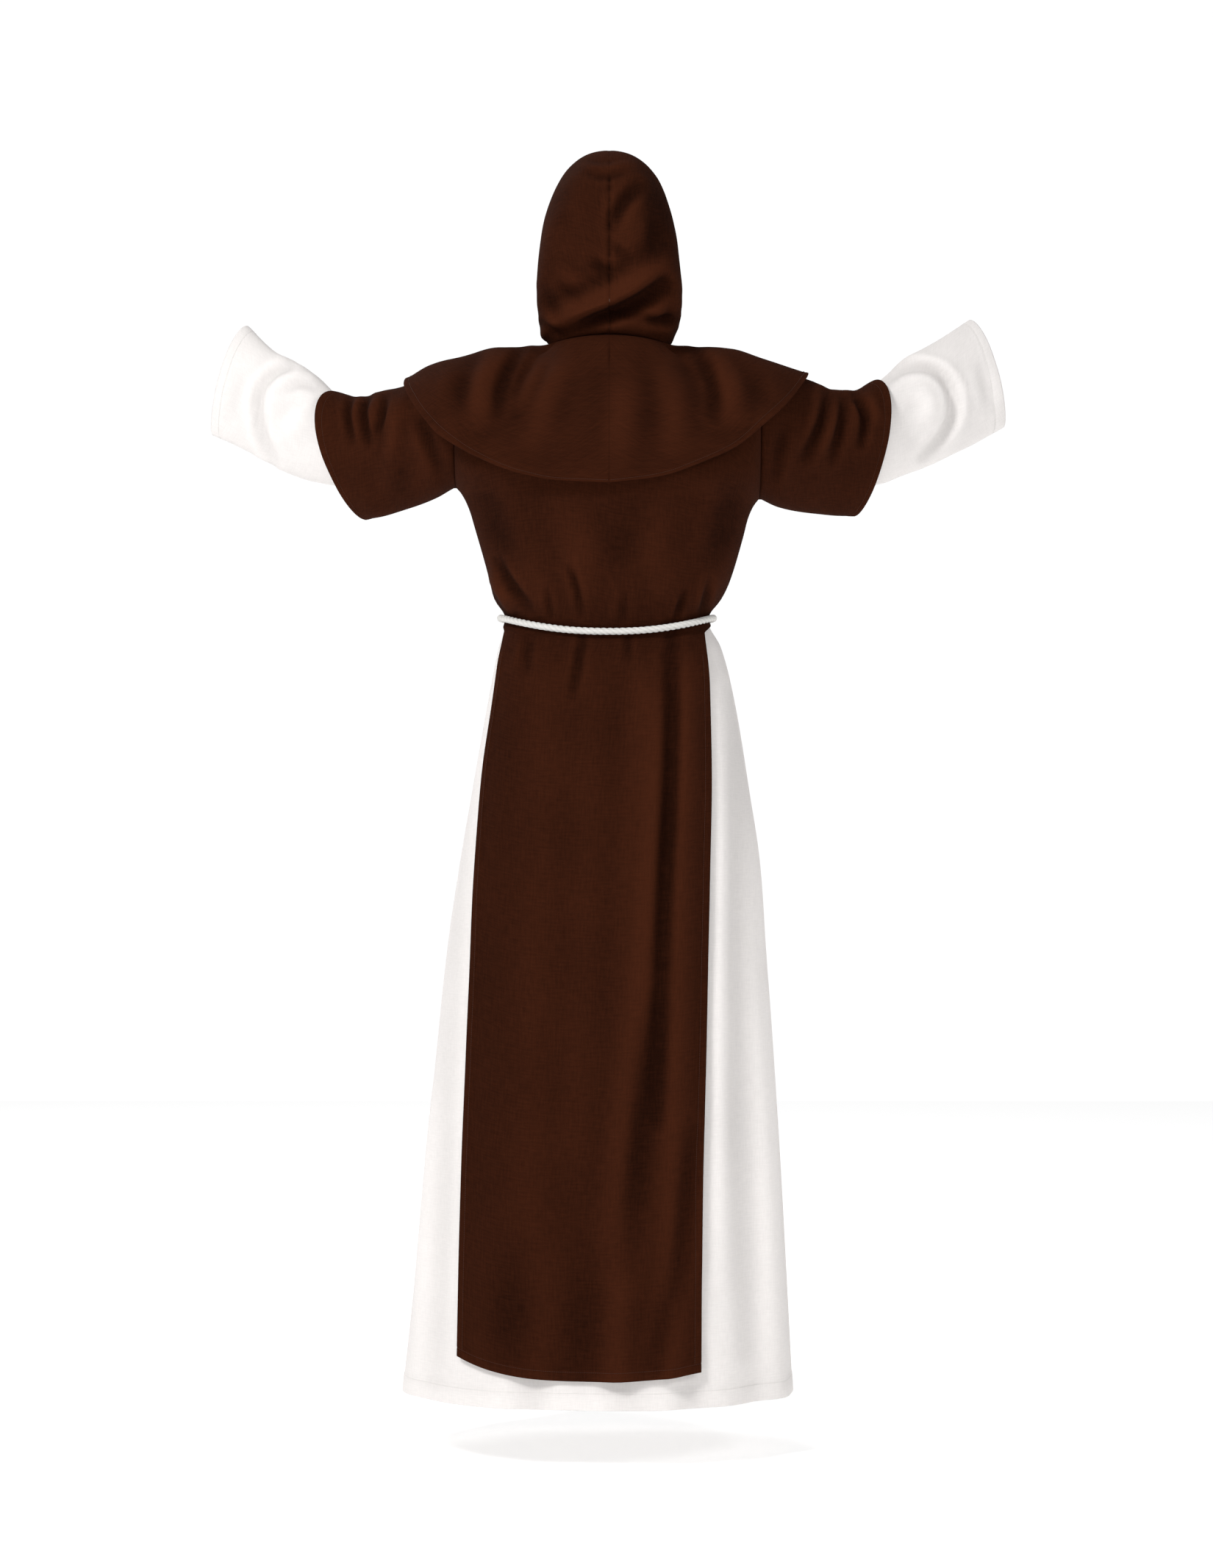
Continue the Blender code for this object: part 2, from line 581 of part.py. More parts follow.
def tunic_panel(face):
    """Front or back of the tunic with its long panel, hem to shoulder seam."""
    edges = BACK_PANEL if face < 0 else FRONT_PANEL
    rows = tuple(sorted(PANEL_ROWS + WAIST_ROWS + SLIT_ROWS))
    heights = np.asarray(rows)[:, None]
    out = tunic_out(heights)
    angles = panel_angles(edges, rows, out)
    below = body_below(face, angles, heights, out)
    x = below[..., 0]
    folds = PANEL_FOLDS_BACK if face < 0 else PANEL_FOLDS_FRONT
    ridge = np.zeros(x.shape)
    span = BELT_HEIGHT - PANEL_ROWS[0]
    for at_belt, at_hem, half_width, height, end in folds:
        fallen = np.clip((BELT_HEIGHT - heights) / span, 0, 1)
        centre = at_belt + (at_hem - at_belt) * fallen
        grown = ease((BELT_HEIGHT - ROPE - heights) / FOLD_START)
        grown = grown * ease((heights - end) / FOLD_END + 1)
        ridge += height * grown * np.exp(-((x - centre) / half_width) ** 2)
    for centre, half_width, height in BLOUSE_FOLDS:
        above_belt = ease((heights - BELT_HEIGHT - ROPE) / BLOUSE_RISE)
        fade = ease((BLOUSE_TOP - heights) / BLOUSE_FADE)
        spread = 1 + 2 * np.clip((heights - BELT_HEIGHT) / (BLOUSE_TOP - BELT_HEIGHT), 0, 1)
        away = (x - centre * np.sqrt(spread)) / (half_width * spread)
        ridge += height * above_belt * fade * np.exp(-away ** 2)
    below[..., 1] += face * ridge
    above_hem = (heights - PANEL_ROWS[0]) / SAG_HEIGHT
    aside = np.radians(PANEL_STEPS)[None, :] / HALF
    lift = np.where(aside < 0, *PANEL_LIFT[face]) * aside ** 2
    below[..., 2] += (lift - PANEL_HEM_SAG * np.cos(angles) ** 2) * ease(1 - above_hem)
    above = yoke(face, tunic_out(yoke(face, 0.0)[..., 2]))
    return np.concatenate((below, above), axis=0)


def cape_surface(x, turn, out):
    """The form that the cape lies on: yoke in the middle, sleeves outside the armholes."""
    side = np.where(x < 0, -1.0, 1.0)
    half = np.where(x < 0, ARMHOLE_LEFT, ARMHOLE_RIGHT) + out
    across = np.clip(x / half, -1, 1)
    back = body_above(-1, across, np.abs(turn), out, CAPE_BRIDGE)
    front = body_above(1, across, np.abs(turn), out, CAPE_BRIDGE)
    point = np.where(turn[..., None] >= 0, back, front)
    for number, rows in ((1, TUNIC_SLEEVE_RIGHT), (-1, TUNIC_SLEEVE_LEFT)):
        lift = out - tunic_out(ARMPIT)
        table = (armhole_row(number, float(tunic_out(ARMPIT))),) + rows
        ring = sleeve_ring(number, table, np.abs(x), turn, lift)
        wide = np.abs(x) / (half + CAPE_BRIDGE)
        deep = np.clip(1 - wide ** ROUNDNESS, 0, 1) ** (1 / ROUNDNESS)
        low = ((1 - np.cos(turn)) / 2) ** YOKE_DROP
        depth = np.where(turn >= 0, -1.0, 1.0) * column(ROBE_RINGS, 3, ARMPIT) * deep * low
        ring[..., 1] += depth
        beyond = (np.abs(x) > half) & (side == number)
        point = np.where(beyond[..., None], ring, point)
    return point


def neck_ring(angle, out):
    """Neckline of the cape: angle 90 degrees is the back middle, minus is the front."""
    x = (NECK_HALF_WIDTH + out) * np.cos(angle)
    back = angle >= 0
    depth = np.where(back, NECK_BACK, NECK_FRONT) + out
    y = -depth * np.sin(angle)
    z = np.where(back, shoulder_height(-1, x, out), shoulder_height(1, x, out))
    return np.stack((x, y, z), axis=-1)


def cape_lying(side, shares, down):
    """Cape below the shoulders: it lies on the yoke and the sleeves down to its hem."""
    round_neck = HALF * (1 - 2 * shares)
    start_x = (NECK_HALF_WIDTH + CAPE_SHOULDER_REACH) * np.cos(round_neck)
    start_turn = math.radians(CAPE_SHOULDER_TURN) * np.sin(round_neck)
    hem_x = column(CAPE_HEM[side], 1, shares)
    hem_turn = np.radians(column(CAPE_HEM[side], 2, shares))
    lower = (down - CAPE_SHOULDER) / (1 - CAPE_SHOULDER)
    x = start_x + (hem_x - start_x) * lower
    turn = start_turn + (hem_turn - start_turn) * lower
    turn = np.where(shares < 0.5, np.abs(turn), -np.abs(turn))
    out = CAPE_NECK_OUT + (CAPE_HEM_OUT - CAPE_NECK_OUT) * ease(down * CAPE_LIFT)
    return x, turn, out + 0 * x


def cape_half(side):
    """One half of the cape: from the back middle over the shoulder to the front middle.

    Between the neckline and the shoulders it is a smooth curve (cubic, with the slope of the
    lying part at its lower end and level at the neck); below, it lies on the form.
    """
    shares = np.linspace(0, 1, CAPE_COLUMNS)[None, :]
    down = np.array(CAPE_ROWS)[:, None]
    mirror = np.array((side, 1, 1))

    def lying(at):
        x, turn, out = cape_lying(side, shares, at)
        return cape_surface(side * x, turn, out) * mirror

    neck = neck_ring(HALF * (1 - 2 * shares[0]), CAPE_NECK_OUT)
    shoulder = lying(CAPE_SHOULDER)[0]
    slope = (lying(CAPE_SHOULDER * (1 + SLOPE_STEP))[0] - shoulder) / SLOPE_STEP
    level = (shoulder - neck) * np.array((1, 1, 0))
    span = np.linalg.norm(shoulder - neck, axis=-1, keepdims=True)
    level = level / np.linalg.norm(level, axis=-1, keepdims=True) * span
    t = (down / CAPE_SHOULDER)[..., None]
    upper = (neck * (1 + 2 * t) * (1 - t) ** 2 + level * t * (1 - t) ** 2
             + shoulder * t * t * (3 - 2 * t) - slope * t * t * (1 - t))
    grid = np.where(t <= 1, upper, lying(np.maximum(down, CAPE_SHOULDER))) * mirror
    amount = sum(crease(grid, fold) for fold in CAPE_FOLDS) * ease(down * FOLD_FADE)
    grid = displace(grid, amount, np.array(CAPE_MIDDLE))
    grid[..., 0] += side * SEAM / 2
    return grid


def hood_half(side):
    """One half of the hood: from the neck seam over the crown to the face edge."""
    rows = np.array(HOOD_ROWS)[:, None]
    across = np.array(HOOD_COLUMNS)[None, :]
    first, last = HOOD_RINGS[0][0], HOOD_RINGS[-1][0]
    fan = first + (last - first) * rows
    reach = column(HOOD_RINGS, 1, fan)
    half_width = column(HOOD_RINGS, 2, fan)
    turn = np.radians(HOOD_END_TURN) * across
    wide, far = section(turn, HOOD_FULLNESS)
    radius = reach * (1 + far) / 2
    x = half_width * wide
    y = HOOD_AXIS_Y - radius * np.cos(np.radians(fan))
    z = HOOD_AXIS_Z + radius * np.sin(np.radians(fan))
    grid = np.stack(np.broadcast_arrays(x, y, z), axis=-1)
    round_neck = HALF - (HALF + math.radians(THROAT_TURN)) * across[0]
    neck = neck_ring(round_neck, CAPE_NECK_OUT) + np.array((0.0, 0.0, SEAM))
    pull = (1 - ease(rows / HOOD_GATHER))[..., None]
    grid = grid + (neck - grid[0])[None] * pull
    amount = sum(crease(grid * np.array((side, 1, 1)), fold) for fold in HOOD_FOLDS)
    grid = displace(grid, amount * ease(rows * HOOD_FOLD_FADE), np.array(HOOD_MIDDLE))
    grid[..., 0] += SEAM / 2
    return grid * np.array((side, 1, 1))


def material(name, colour, roughness):
    """A plain cloth finish."""
    finish = bpy.data.materials.new(name)
    finish.use_nodes = True
    shader = finish.node_tree.nodes["Principled BSDF"]
    shader.inputs["Base Color"].default_value = (*colour, 1.0)
    shader.inputs["Roughness"].default_value = roughness
    shader.inputs["Metallic"].default_value = 0.0
    finish.diffuse_color = (*colour, 1.0)
    return finish


def cloth(name, grid, thickness, finish, collection, closed=False, middle=None):
    """A wall of cloth: the grid is its outer surface, Solidify gives it its thickness inwards.

    The faces point away from the middle: a given point, or else the line up the body, or the
    middle of each ring of a closed sleeve.
    """
    rows, columns = grid.shape[:2]
    number = np.arange(rows * columns).reshape(rows, columns)
    if closed:
        number = np.concatenate((number, number[:, :1]), axis=1)
    corners = (number[:-1, :-1], number[:-1, 1:], number[1:, 1:], number[1:, :-1])
    faces = np.stack(corners, axis=-1).reshape(-1, 4)
    mesh = bpy.data.meshes.new(name)
    mesh.from_pydata(grid.reshape(-1, 3).tolist(), [], faces.tolist())
    mesh.update()
    facing = 0.0
    for polygon in mesh.polygons:
        centre = np.array(polygon.center)
        inside = np.array(middle or (0.0, 0.0, centre[2]))
        if closed:
            inside = nearest_middle(grid, centre)
        facing += float(np.dot(np.array(polygon.normal), centre - inside)) * polygon.area
    if facing < 0:
        mesh.flip_normals()
    mesh.materials.append(finish)
    mesh.shade_smooth()
    piece = bpy.data.objects.new(name, mesh)
    collection.objects.link(piece)
    wall = piece.modifiers.new("Thickness", "SOLIDIFY")
    wall.thickness = thickness
    wall.offset = -1.0
    return piece


def nearest_middle(grid, point):
    """Middle of the ring of a tube that lies nearest to a point."""
    middles = grid.mean(axis=1)
    nearest = np.argmin(np.linalg.norm(middles - point, axis=1))
    return middles[nearest]


def belt_point(angle):
    """A point of the rope's middle line round the tunic's waist, from the back middle."""
    face = -1 if math.cos(angle) > 0 else 1
    local = math.asin(math.sin(angle))
    out = float(tunic_out(BELT_HEIGHT)) + ROPE / 2 + 2 * CLEAR
    return body_below(face, np.array(local), np.array(BELT_HEIGHT), out)


def belt_path():
    """Middle line of the rope round the tunic's waist."""
    angles = np.linspace(0, 2 * math.pi, BELT_STEPS, endpoint=False)
    return np.array([belt_point(angle) for angle in angles])


def rope(name, points, finish, collection, cyclic):
    """A plain round rope along the points."""
    curve = bpy.data.curves.new(name, "CURVE")
    curve.dimensions = "3D"
    curve.bevel_depth = ROPE / 2
    curve.bevel_resolution = 2
    curve.use_fill_caps = not cyclic
    spline = curve.splines.new("POLY")
    spline.points.add(len(points) - 1)
    spline.points.foreach_set("co", np.c_[points, np.ones(len(points))].ravel())
    spline.use_cyclic_u = cyclic
    curve.materials.append(finish)
    piece = bpy.data.objects.new(name, curve)
    collection.objects.link(piece)
    return piece


def ball(name, size, place, finish, collection):
    """A plain rounded lump of rope."""
    bpy.ops.mesh.primitive_uv_sphere_add(segments=BALL_SEGMENTS, ring_count=BALL_RINGS, radius=0.5)
    piece = bpy.context.object
    piece.name = name
    piece.data.name = name
    piece.scale = size
    piece.location = place
    bpy.ops.object.transform_apply(location=False, rotation=False, scale=True)
    piece.data.materials.append(finish)
    piece.data.shade_smooth()
    for owner in piece.users_collection:
        owner.objects.unlink(piece)
    collection.objects.link(piece)
    return piece


def tail_points(side, top, length):
    """Middle line of a belt end that hangs on the front panel."""
    heights = np.linspace(top, top - length, TAIL_STEPS)
    points = []
    for height in heights:
        fallen = (top - height) / length
        x = side * (TAIL_SPREAD / 2 + TAIL_SPREAD * fallen ** TAIL_CURVE)
        out = float(tunic_out(height)) + TAIL_OFF_PANEL + ROPE / 2
        half = float(column(ROBE_RINGS, 2 if x > 0 else 1, height)) + out
        angle = math.copysign(math.asin((abs(x) / half) ** (ROUNDNESS / 2)), x)
        surface = body_below(1, np.array(angle), np.array(height), out)
        start = 1 - ease(fallen * TAIL_START)
        y = float(surface[1]) + start * max(0.0, knot_front() - float(surface[1]))
        points.append((x, y, height))
    return np.array(points)


def knot_front():
    """How far forward the middle of the belt's knot lies."""
    return float(belt_point(math.pi)[1]) + ROPE / 2 + CLEAR + KNOT_SIZE[1] / 2


def main():
    for thing in list(bpy.data.objects):
        bpy.data.objects.remove(thing)
    collection = bpy.data.collections.new("monk_costume")
    bpy.context.scene.collection.children.link(collection)
    white = material("robe white", (0.83, 0.81, 0.79), 0.85)
    brown = material("habit brown", (0.050, 0.017, 0.009), 0.92)
    cotton = material("rope cotton", (0.80, 0.78, 0.74), 0.80)

    for face, end in ((1, "front"), (-1, "back")):
        cloth("robe_" + end, robe_panel(face), ROBE_CLOTH, white, collection)
        cloth("tunic_" + end, tunic_panel(face), BROWN_CLOTH, brown, collection)
    for side, end in ((-1, "left"), (1, "right")):
        cloth("robe_sleeve_" + end, sleeve_grid("robe", side, ROBE_SLEEVE_RINGS),
              ROBE_CLOTH, white, collection, closed=True)
        cloth("tunic_sleeve_" + end, sleeve_grid("tunic", side, TUNIC_SLEEVE_RINGS),
              BROWN_CLOTH, brown, collection, closed=True)
        cloth("cape_" + end, cape_half(side), BROWN_CLOTH, brown, collection,
              middle=CAPE_MIDDLE)
        cloth("hood_" + end, hood_half(side), BROWN_CLOTH, brown, collection,
              middle=HOOD_MIDDLE)

    rope("rope_belt", belt_path(), cotton, collection, cyclic=True)
    belt_front = belt_point(math.pi)
    knot_place = (float(belt_front[0]), knot_front(), float(belt_front[2]))
    ball("belt_knot", KNOT_SIZE, knot_place, cotton, collection)
    top = knot_place[2] - KNOT_SIZE[2] / 2 - CLEAR / 2
    for side, end in ((-1, "left"), (1, "right")):
        points = tail_points(side, top, TAIL_LENGTH)
        rope("belt_tail_" + end, points, cotton, collection, cyclic=False)
        low = points[-1] - np.array((0, 0, TAIL_KNOT / 2 + CLEAR))
        ball("tail_knot_" + end, (TAIL_KNOT,) * 3, tuple(low), cotton, collection)


main()
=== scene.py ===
# %% [markdown]
# A monk's costume, cell by cell.
# The real thing is sewn from two kinds of cloth: a white robe of smooth polycotton, and a brown
# habit over it, which is a tunic with two long panels, a shoulder cape and a hood. A white rope
# ties it at the waist. Here each cut piece is one thin sheet, worked out with numpy as a surface
# of two parameters, and then given the thickness of its cloth. A simulation could drape it, but
# the wearer's pose is known from the picture, so formulas give its form more surely.
# The frame comes first: the plain solids, their sizes and the one body that everything rides on.

# %% The frame
import math

import bpy
import numpy as np
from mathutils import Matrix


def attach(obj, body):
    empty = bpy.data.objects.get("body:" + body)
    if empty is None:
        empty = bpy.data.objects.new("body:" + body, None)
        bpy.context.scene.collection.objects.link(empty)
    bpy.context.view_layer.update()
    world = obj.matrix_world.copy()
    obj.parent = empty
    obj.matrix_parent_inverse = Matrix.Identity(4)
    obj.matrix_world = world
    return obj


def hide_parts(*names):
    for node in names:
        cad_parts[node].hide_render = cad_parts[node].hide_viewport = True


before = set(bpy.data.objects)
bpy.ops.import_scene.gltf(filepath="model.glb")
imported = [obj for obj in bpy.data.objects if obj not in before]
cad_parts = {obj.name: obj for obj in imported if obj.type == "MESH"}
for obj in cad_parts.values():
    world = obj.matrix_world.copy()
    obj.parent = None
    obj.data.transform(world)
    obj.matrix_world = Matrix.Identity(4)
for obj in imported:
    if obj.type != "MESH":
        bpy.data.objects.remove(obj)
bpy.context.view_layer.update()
BODY = "root"
print("solids", len(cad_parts))

# %% [markdown]
# The camera stands level behind the wearer, a long way off with a long lens, as for a catalogue.
# It looks along +Y. The picture is 1650 by 2133 and shows 2.226 m of height at the costume.

# %% Camera
CAMERA_AWAY = 5.5
PICTURE_HEIGHT = 2.226
FILM = 36.0
CAMERA_PLACE = (-0.004, -CAMERA_AWAY, -0.618)

camera_data = bpy.data.cameras.new("camera")
camera_data.sensor_width = FILM
camera_data.lens = FILM * CAMERA_AWAY / PICTURE_HEIGHT
camera = bpy.data.objects.new("camera", camera_data)
camera.location = CAMERA_PLACE
camera.rotation_euler = (math.pi / 2, 0, 0)
bpy.context.scene.collection.objects.link(camera)
bpy.context.scene.camera = camera
print("lens", round(camera_data.lens, 1))

# %% [markdown]
# Sizes of the cut. The costume hangs from the neck, the shoulders and the belt, so its form is
# given by rings: at each height, how far the outer face of the robe reaches left, right, back
# and front. The tunic is the same form, moved out by a few millimetres. All sizes are in metres,
# from the middle of the neck opening; +X is the wearer's right and -Y the wearer's back.

# %% Sizes
ROBE_CLOTH = 0.0015
BROWN_CLOTH = 0.0020
CLEAR = 0.0004
ROUNDNESS = 2.2
HALF = math.pi / 2

ROBE_HEM = -1.475
BELT_HEIGHT = -0.383
BELT_SPREAD = 0.060
BELT_DIP_BACK = 0.0230
BELT_DIP_FRONT = 0.006
ROPE = 0.011

ARMPIT = -0.2015
ARMPIT_TILT = -0.008
ARMHOLE_LEFT = 0.2125
ARMHOLE_RIGHT = 0.2075
ARMHOLE_DEPTH = 0.0805
NECK_HALF_WIDTH = 0.076
NECK_SPREAD = 0.130
NECK_BACK = 0.068
NECK_FRONT = 0.060
NECK_BACK_RISE = 0.008
NECK_FRONT_DROP = 0.030
BACK_BULGE = 0.036
CHEST_BULGE = 0.030

# Height, then reach to the left, right, back and front
ROBE_RINGS = np.array((
    (ROBE_HEM, 0.293, 0.260, 0.200, 0.198),
    (-1.310, 0.275, 0.2515, 0.190, 0.186),
    (-1.150, 0.2595, 0.2425, 0.181, 0.176),
    (-1.000, 0.2455, 0.2315, 0.173, 0.167),
    (-0.865, 0.2315, 0.2225, 0.166, 0.158),
    (-0.730, 0.2120, 0.2120, 0.159, 0.148),
    (-0.600, 0.1895, 0.1945, 0.150, 0.138),
    (-0.485, 0.1690, 0.1745, 0.136, 0.124),
    (-0.425, 0.1570, 0.1585, 0.123, 0.114),
    (-0.383, 0.1452, 0.1386, 0.1107, 0.1037),
    (-0.357, 0.1590, 0.1540, 0.119, 0.110),
    (-0.329, 0.1660, 0.1665, 0.128, 0.116),
    (-0.262, 0.1860, 0.1855, 0.1415, 0.1235),
    (-0.224, 0.1985, 0.1950, 0.1448, 0.1272),
    (-0.2015, 0.2125, 0.2075, 0.1455, 0.1295),
))
LEFT, RIGHT, BACK, FRONT = 1, 2, 3, 4

# Distance from the middle, height of the shoulder
SHOULDER_LINE = np.array((
    (0.000, -0.005),
    (0.070, -0.005),
    (0.100, -0.0055),
    (0.137, -0.0095),
    (0.175, -0.0135),
    (0.2125, -0.0255),
))

# Height, how far the tunic's face stands off the robe's
TUNIC_OUT = np.array((
    (ROBE_HEM, 0.0070),
    (-0.435, 0.0070),
    (-0.403, 0.0062),
    (-0.391, 0.0034),
    (-0.375, 0.0027),
    (-0.345, 0.0045),
    (-0.020, 0.0045),
    (-0.002, 0.0026),
))

# %% [markdown]
# Three small helpers do most of the drawing: a smooth curve through a table's rows that never
# overshoots, an S-shaped step, and the outline of a rounded body. An ellipse is too thin at the
# corners for cloth over a back, so the outline is a superellipse, a little fuller.

# %% Curves and sections


def curve(table, column, at):
    """Smooth curve through a column of a table: cubic pieces whose slope at each row is the
    harmonic mean of the slopes beside it, or level where they differ in sign."""
    order = np.argsort(table[:, 0])
    knots, values = table[order, 0], table[order, column]
    span = np.diff(knots)
    slope = np.diff(values) / span
    before, after = slope[:-1], slope[1:]
    same = before * after > 0
    total = np.where(same, before + after, 1.0)
    middle = np.where(same, 2 * before * after / total, 0.0)
    tangent = np.concatenate((slope[:1], middle, slope[-1:]))
    at = np.clip(np.asarray(at, float), knots[0], knots[-1])
    i = np.clip(np.searchsorted(knots, at) - 1, 0, len(span) - 1)
    t = (at - knots[i]) / span[i]
    ends = values[i] * (1 + 2 * t) * (1 - t) ** 2 + values[i + 1] * t * t * (3 - 2 * t)
    return ends + span[i] * (tangent[i] * t * (1 - t) ** 2 - tangent[i + 1] * t * t * (1 - t))


def ease(t):
    """S-shaped step from 0 to 1: 3 t squared minus 2 t cubed."""
    t = np.clip(t, 0.0, 1.0)
    return t * t * (3 - 2 * t)


def outline(angle, fullness=ROUNDNESS):
    """Superellipse: sine and cosine, each raised to 2 / fullness with its sign kept."""
    across = np.sign(np.sin(angle)) * np.abs(np.sin(angle)) ** (2 / fullness)
    deep = np.sign(np.cos(angle)) * np.abs(np.cos(angle)) ** (2 / fullness)
    return across, deep


# %% [markdown]
# Cloth never hangs as smooth as its cut. Its creases are drawn here, each as a short path
# with a width and a depth: a trough with a soft lip on either side, or a ridge. A skirt also has
# long folds that grow towards the hem, which are easier to give by their angle round the body.

# %% Creases
CREASE_REACH = 4.0
LIP = 0.35
LIP_AWAY = 1.7
LIP_WIDTH = 0.8
END_SHARE = 0.06
END_POWER = 0.7
WAVES = 5
TINY = 1e-6


def smooth_path(points, steps=40):
    """Points along a smooth curve (Catmull-Rom) through a few given ones."""
    points = np.asarray(points, float)
    if len(points) == 2:
        return points[0] + (points[1] - points[0]) * np.linspace(0, 1, steps)[:, None]
    padded = np.concatenate((2 * points[:1] - points[1:2], points, 2 * points[-1:] - points[-2:-1]))
    at = np.linspace(0, len(points) - 1 - TINY, steps)
    i = at.astype(int)
    t = (at - i)[:, None]
    a, b, c, d = (padded[i + k] for k in range(4))
    return 0.5 * (2 * b + (c - a) * t + (2 * a - 5 * b + 4 * c - d) * t ** 2
                  + (3 * b - a - 3 * c + d) * t ** 3)


def crease(u, v, path, width, height):
    """Height of one crease at the places (u, v): a bell across its path, with lips beside it of
    the other sign, that fades towards both ends. The distance is to the nearest stretch of the
    path between two of its points, so a long path gives an even trough."""
    line = smooth_path(path)
    step = np.diff(line, axis=0)
    du = u[..., None] - line[:-1, 0]
    dv = v[..., None] - line[:-1, 1]
    along = np.clip((du * step[:, 0] + dv * step[:, 1]) / np.sum(step ** 2, axis=1), 0, 1)
    far2 = (du - along * step[:, 0]) ** 2 + (dv - along * step[:, 1]) ** 2
    nearest = np.argmin(far2, axis=-1)[..., None]
    away = np.sqrt(np.take_along_axis(far2, nearest, -1)[..., 0])
    share = (nearest + np.take_along_axis(along, nearest, -1))[..., 0] / len(step)
    strength = np.sin(math.pi * (END_SHARE + (1 - 2 * END_SHARE) * share)) ** END_POWER
    bell = np.exp(-(away / width) ** 2)
    lip = np.exp(-((away - LIP_AWAY * width) / (LIP_WIDTH * width)) ** 2)
    return height * strength * (bell - LIP * lip)


def creases(u, v, table, strength=1.0):
    """Sum of a table of creases: path, width, height."""
    total = np.zeros(np.broadcast(u, v).shape)
    for path, width, height in table:
        reach = CREASE_REACH * width
        points = np.asarray(path)
        lo, hi = points.min(axis=0) - reach, points.max(axis=0) + reach
        near = (u > lo[0]) & (u < hi[0]) & (v > lo[1]) & (v < hi[1])
        if near.any():
            total[near] += crease(u[near], v[near], path, width, height)
    return total * strength


def ripple(u, v, size, seed):
    """Soft uneven waves: the mean of five sine waves of near wavelengths in scattered directions."""
    dice = np.random.default_rng(seed)
    total = np.zeros(np.broadcast(u, v).shape)
    for turn, phase, scale in zip(dice.uniform(0, math.pi, WAVES), dice.uniform(0, 6.28, WAVES),
                                  dice.uniform(0.7, 1.5, WAVES)):
        along = u * math.cos(turn) + v * math.sin(turn)
        total += np.sin(along * 2 * math.pi / (size * scale) + phase)
    return total / WAVES


# %% [markdown]
# A grid of points becomes a sheet in four steps. Its faces are the grid's cells, its UV map is
# laid out in metres along the cloth, so that the weave keeps its real scale, it is turned to face
# outwards, and a Solidify modifier gives it its thickness on the inner side. Each point also
# carries its relief as the attribute fold, which the finishes read to paint shade into the
# creases and light onto the ridges.

# %% From grid to cloth
FOLD_DEPTH = 0.0045


def normals(grid, closed=False):
    """Unit normals of a grid: cross product of the steps down and along it."""
    if closed:
        wide = np.concatenate((grid[:, -1:], grid, grid[:, :1]), axis=1)
        return normals(wide)[:, 1:-1]
    turned = np.cross(np.gradient(grid, axis=0), np.gradient(grid, axis=1))
    return turned / np.maximum(np.linalg.norm(turned, axis=-1, keepdims=True), 1e-12)


def push(grid, amount, middle, closed=False):
    """Moves a grid's points along its normals, away from a middle point or line."""
    normal = normals(grid, closed)
    side = np.sign(np.sum(normal * (grid - middle), axis=-1, keepdims=True))
    return grid + normal * side * amount[..., None]


def soften(grid, near, passes, axis):
    """Evens a grid out where near is 1: each pass moves a point towards the middle of its two
    neighbours along one axis, so a kink between two formulas becomes a soft bend."""
    near = np.broadcast_to(near, grid.shape[:2])[..., None] / 2
    for _ in range(passes):
        before, after = np.roll(grid, 1, axis), np.roll(grid, -1, axis)
        middle = (before + after) / 2
        moved = grid + (middle - grid) * near
        inner = (slice(1, -1), slice(None)) if axis == 0 else (slice(None), slice(1, -1))
        grid = grid.copy()
        grid[inner] = moved[inner]
    return grid


def cloth_map(grid, closed):
    """Metres along and down the cloth for each point, summed from step to step."""
    if closed:
        grid = np.concatenate((grid, grid[:, :1]), axis=1)
    along = np.linalg.norm(np.diff(grid, axis=1), axis=-1)
    down = np.linalg.norm(np.diff(grid, axis=0), axis=-1)
    u = np.concatenate((np.zeros((len(grid), 1)), np.cumsum(along, axis=1)), axis=1)
    v = np.concatenate((np.zeros((1, grid.shape[1])), np.cumsum(down, axis=0)), axis=0)
    return np.stack((u - u.mean(axis=1, keepdims=True), v), axis=-1)


def sheet_mesh(name, grid, relief, middle, closed=False):
    """Object of a grid, with its faces turned away from the middle, a UV map in metres, and the
    attribute fold, which is its relief: -1 deep in a crease, 1 on a ridge; the finishes paint shade and
    light from it."""
    rows, columns = grid.shape[:2]
    number = np.arange(rows * columns).reshape(rows, columns)
    spread = np.arange(rows * (columns + 1)).reshape(rows, columns + 1)
    if closed:
        number = np.concatenate((number, number[:, :1]), axis=1)
    else:
        spread = number
    normal = normals(grid, closed)
    outwards = np.sum(normal * (grid - middle)) > 0

    def corners(of):
        faces = (of[:-1, :-1], of[1:, :-1], of[1:, 1:], of[:-1, 1:])
        if not outwards:
            faces = faces[::-1]
        return np.stack(faces, axis=-1).reshape(-1, 4)

    faces = corners(number)
    mesh = bpy.data.meshes.new(name)
    mesh.from_pydata(grid.reshape(-1, 3), [], faces)
    places = cloth_map(grid, closed).reshape(-1, 2)[corners(spread).ravel()]
    uv = mesh.uv_layers.new(name="cloth")
    uv.data.foreach_set("uv", places.astype(np.float32).ravel())
    fold = mesh.attributes.new("fold", "FLOAT", "POINT")
    depth = np.tanh(np.broadcast_to(relief, (rows, columns)) / FOLD_DEPTH)
    fold.data.foreach_set("value", depth.astype(np.float32).ravel())
    mesh.shade_smooth()
    mesh.update()
    piece = bpy.data.objects.new(name, mesh)
    bpy.context.scene.collection.objects.link(piece)
    return piece


def thicken(piece, thickness):
    """Gives a sheet its thickness on the inner side."""
    wall = piece.modifiers.new("Thickness", "SOLIDIFY")
    wall.thickness = thickness
    wall.offset = -1.0
    return piece


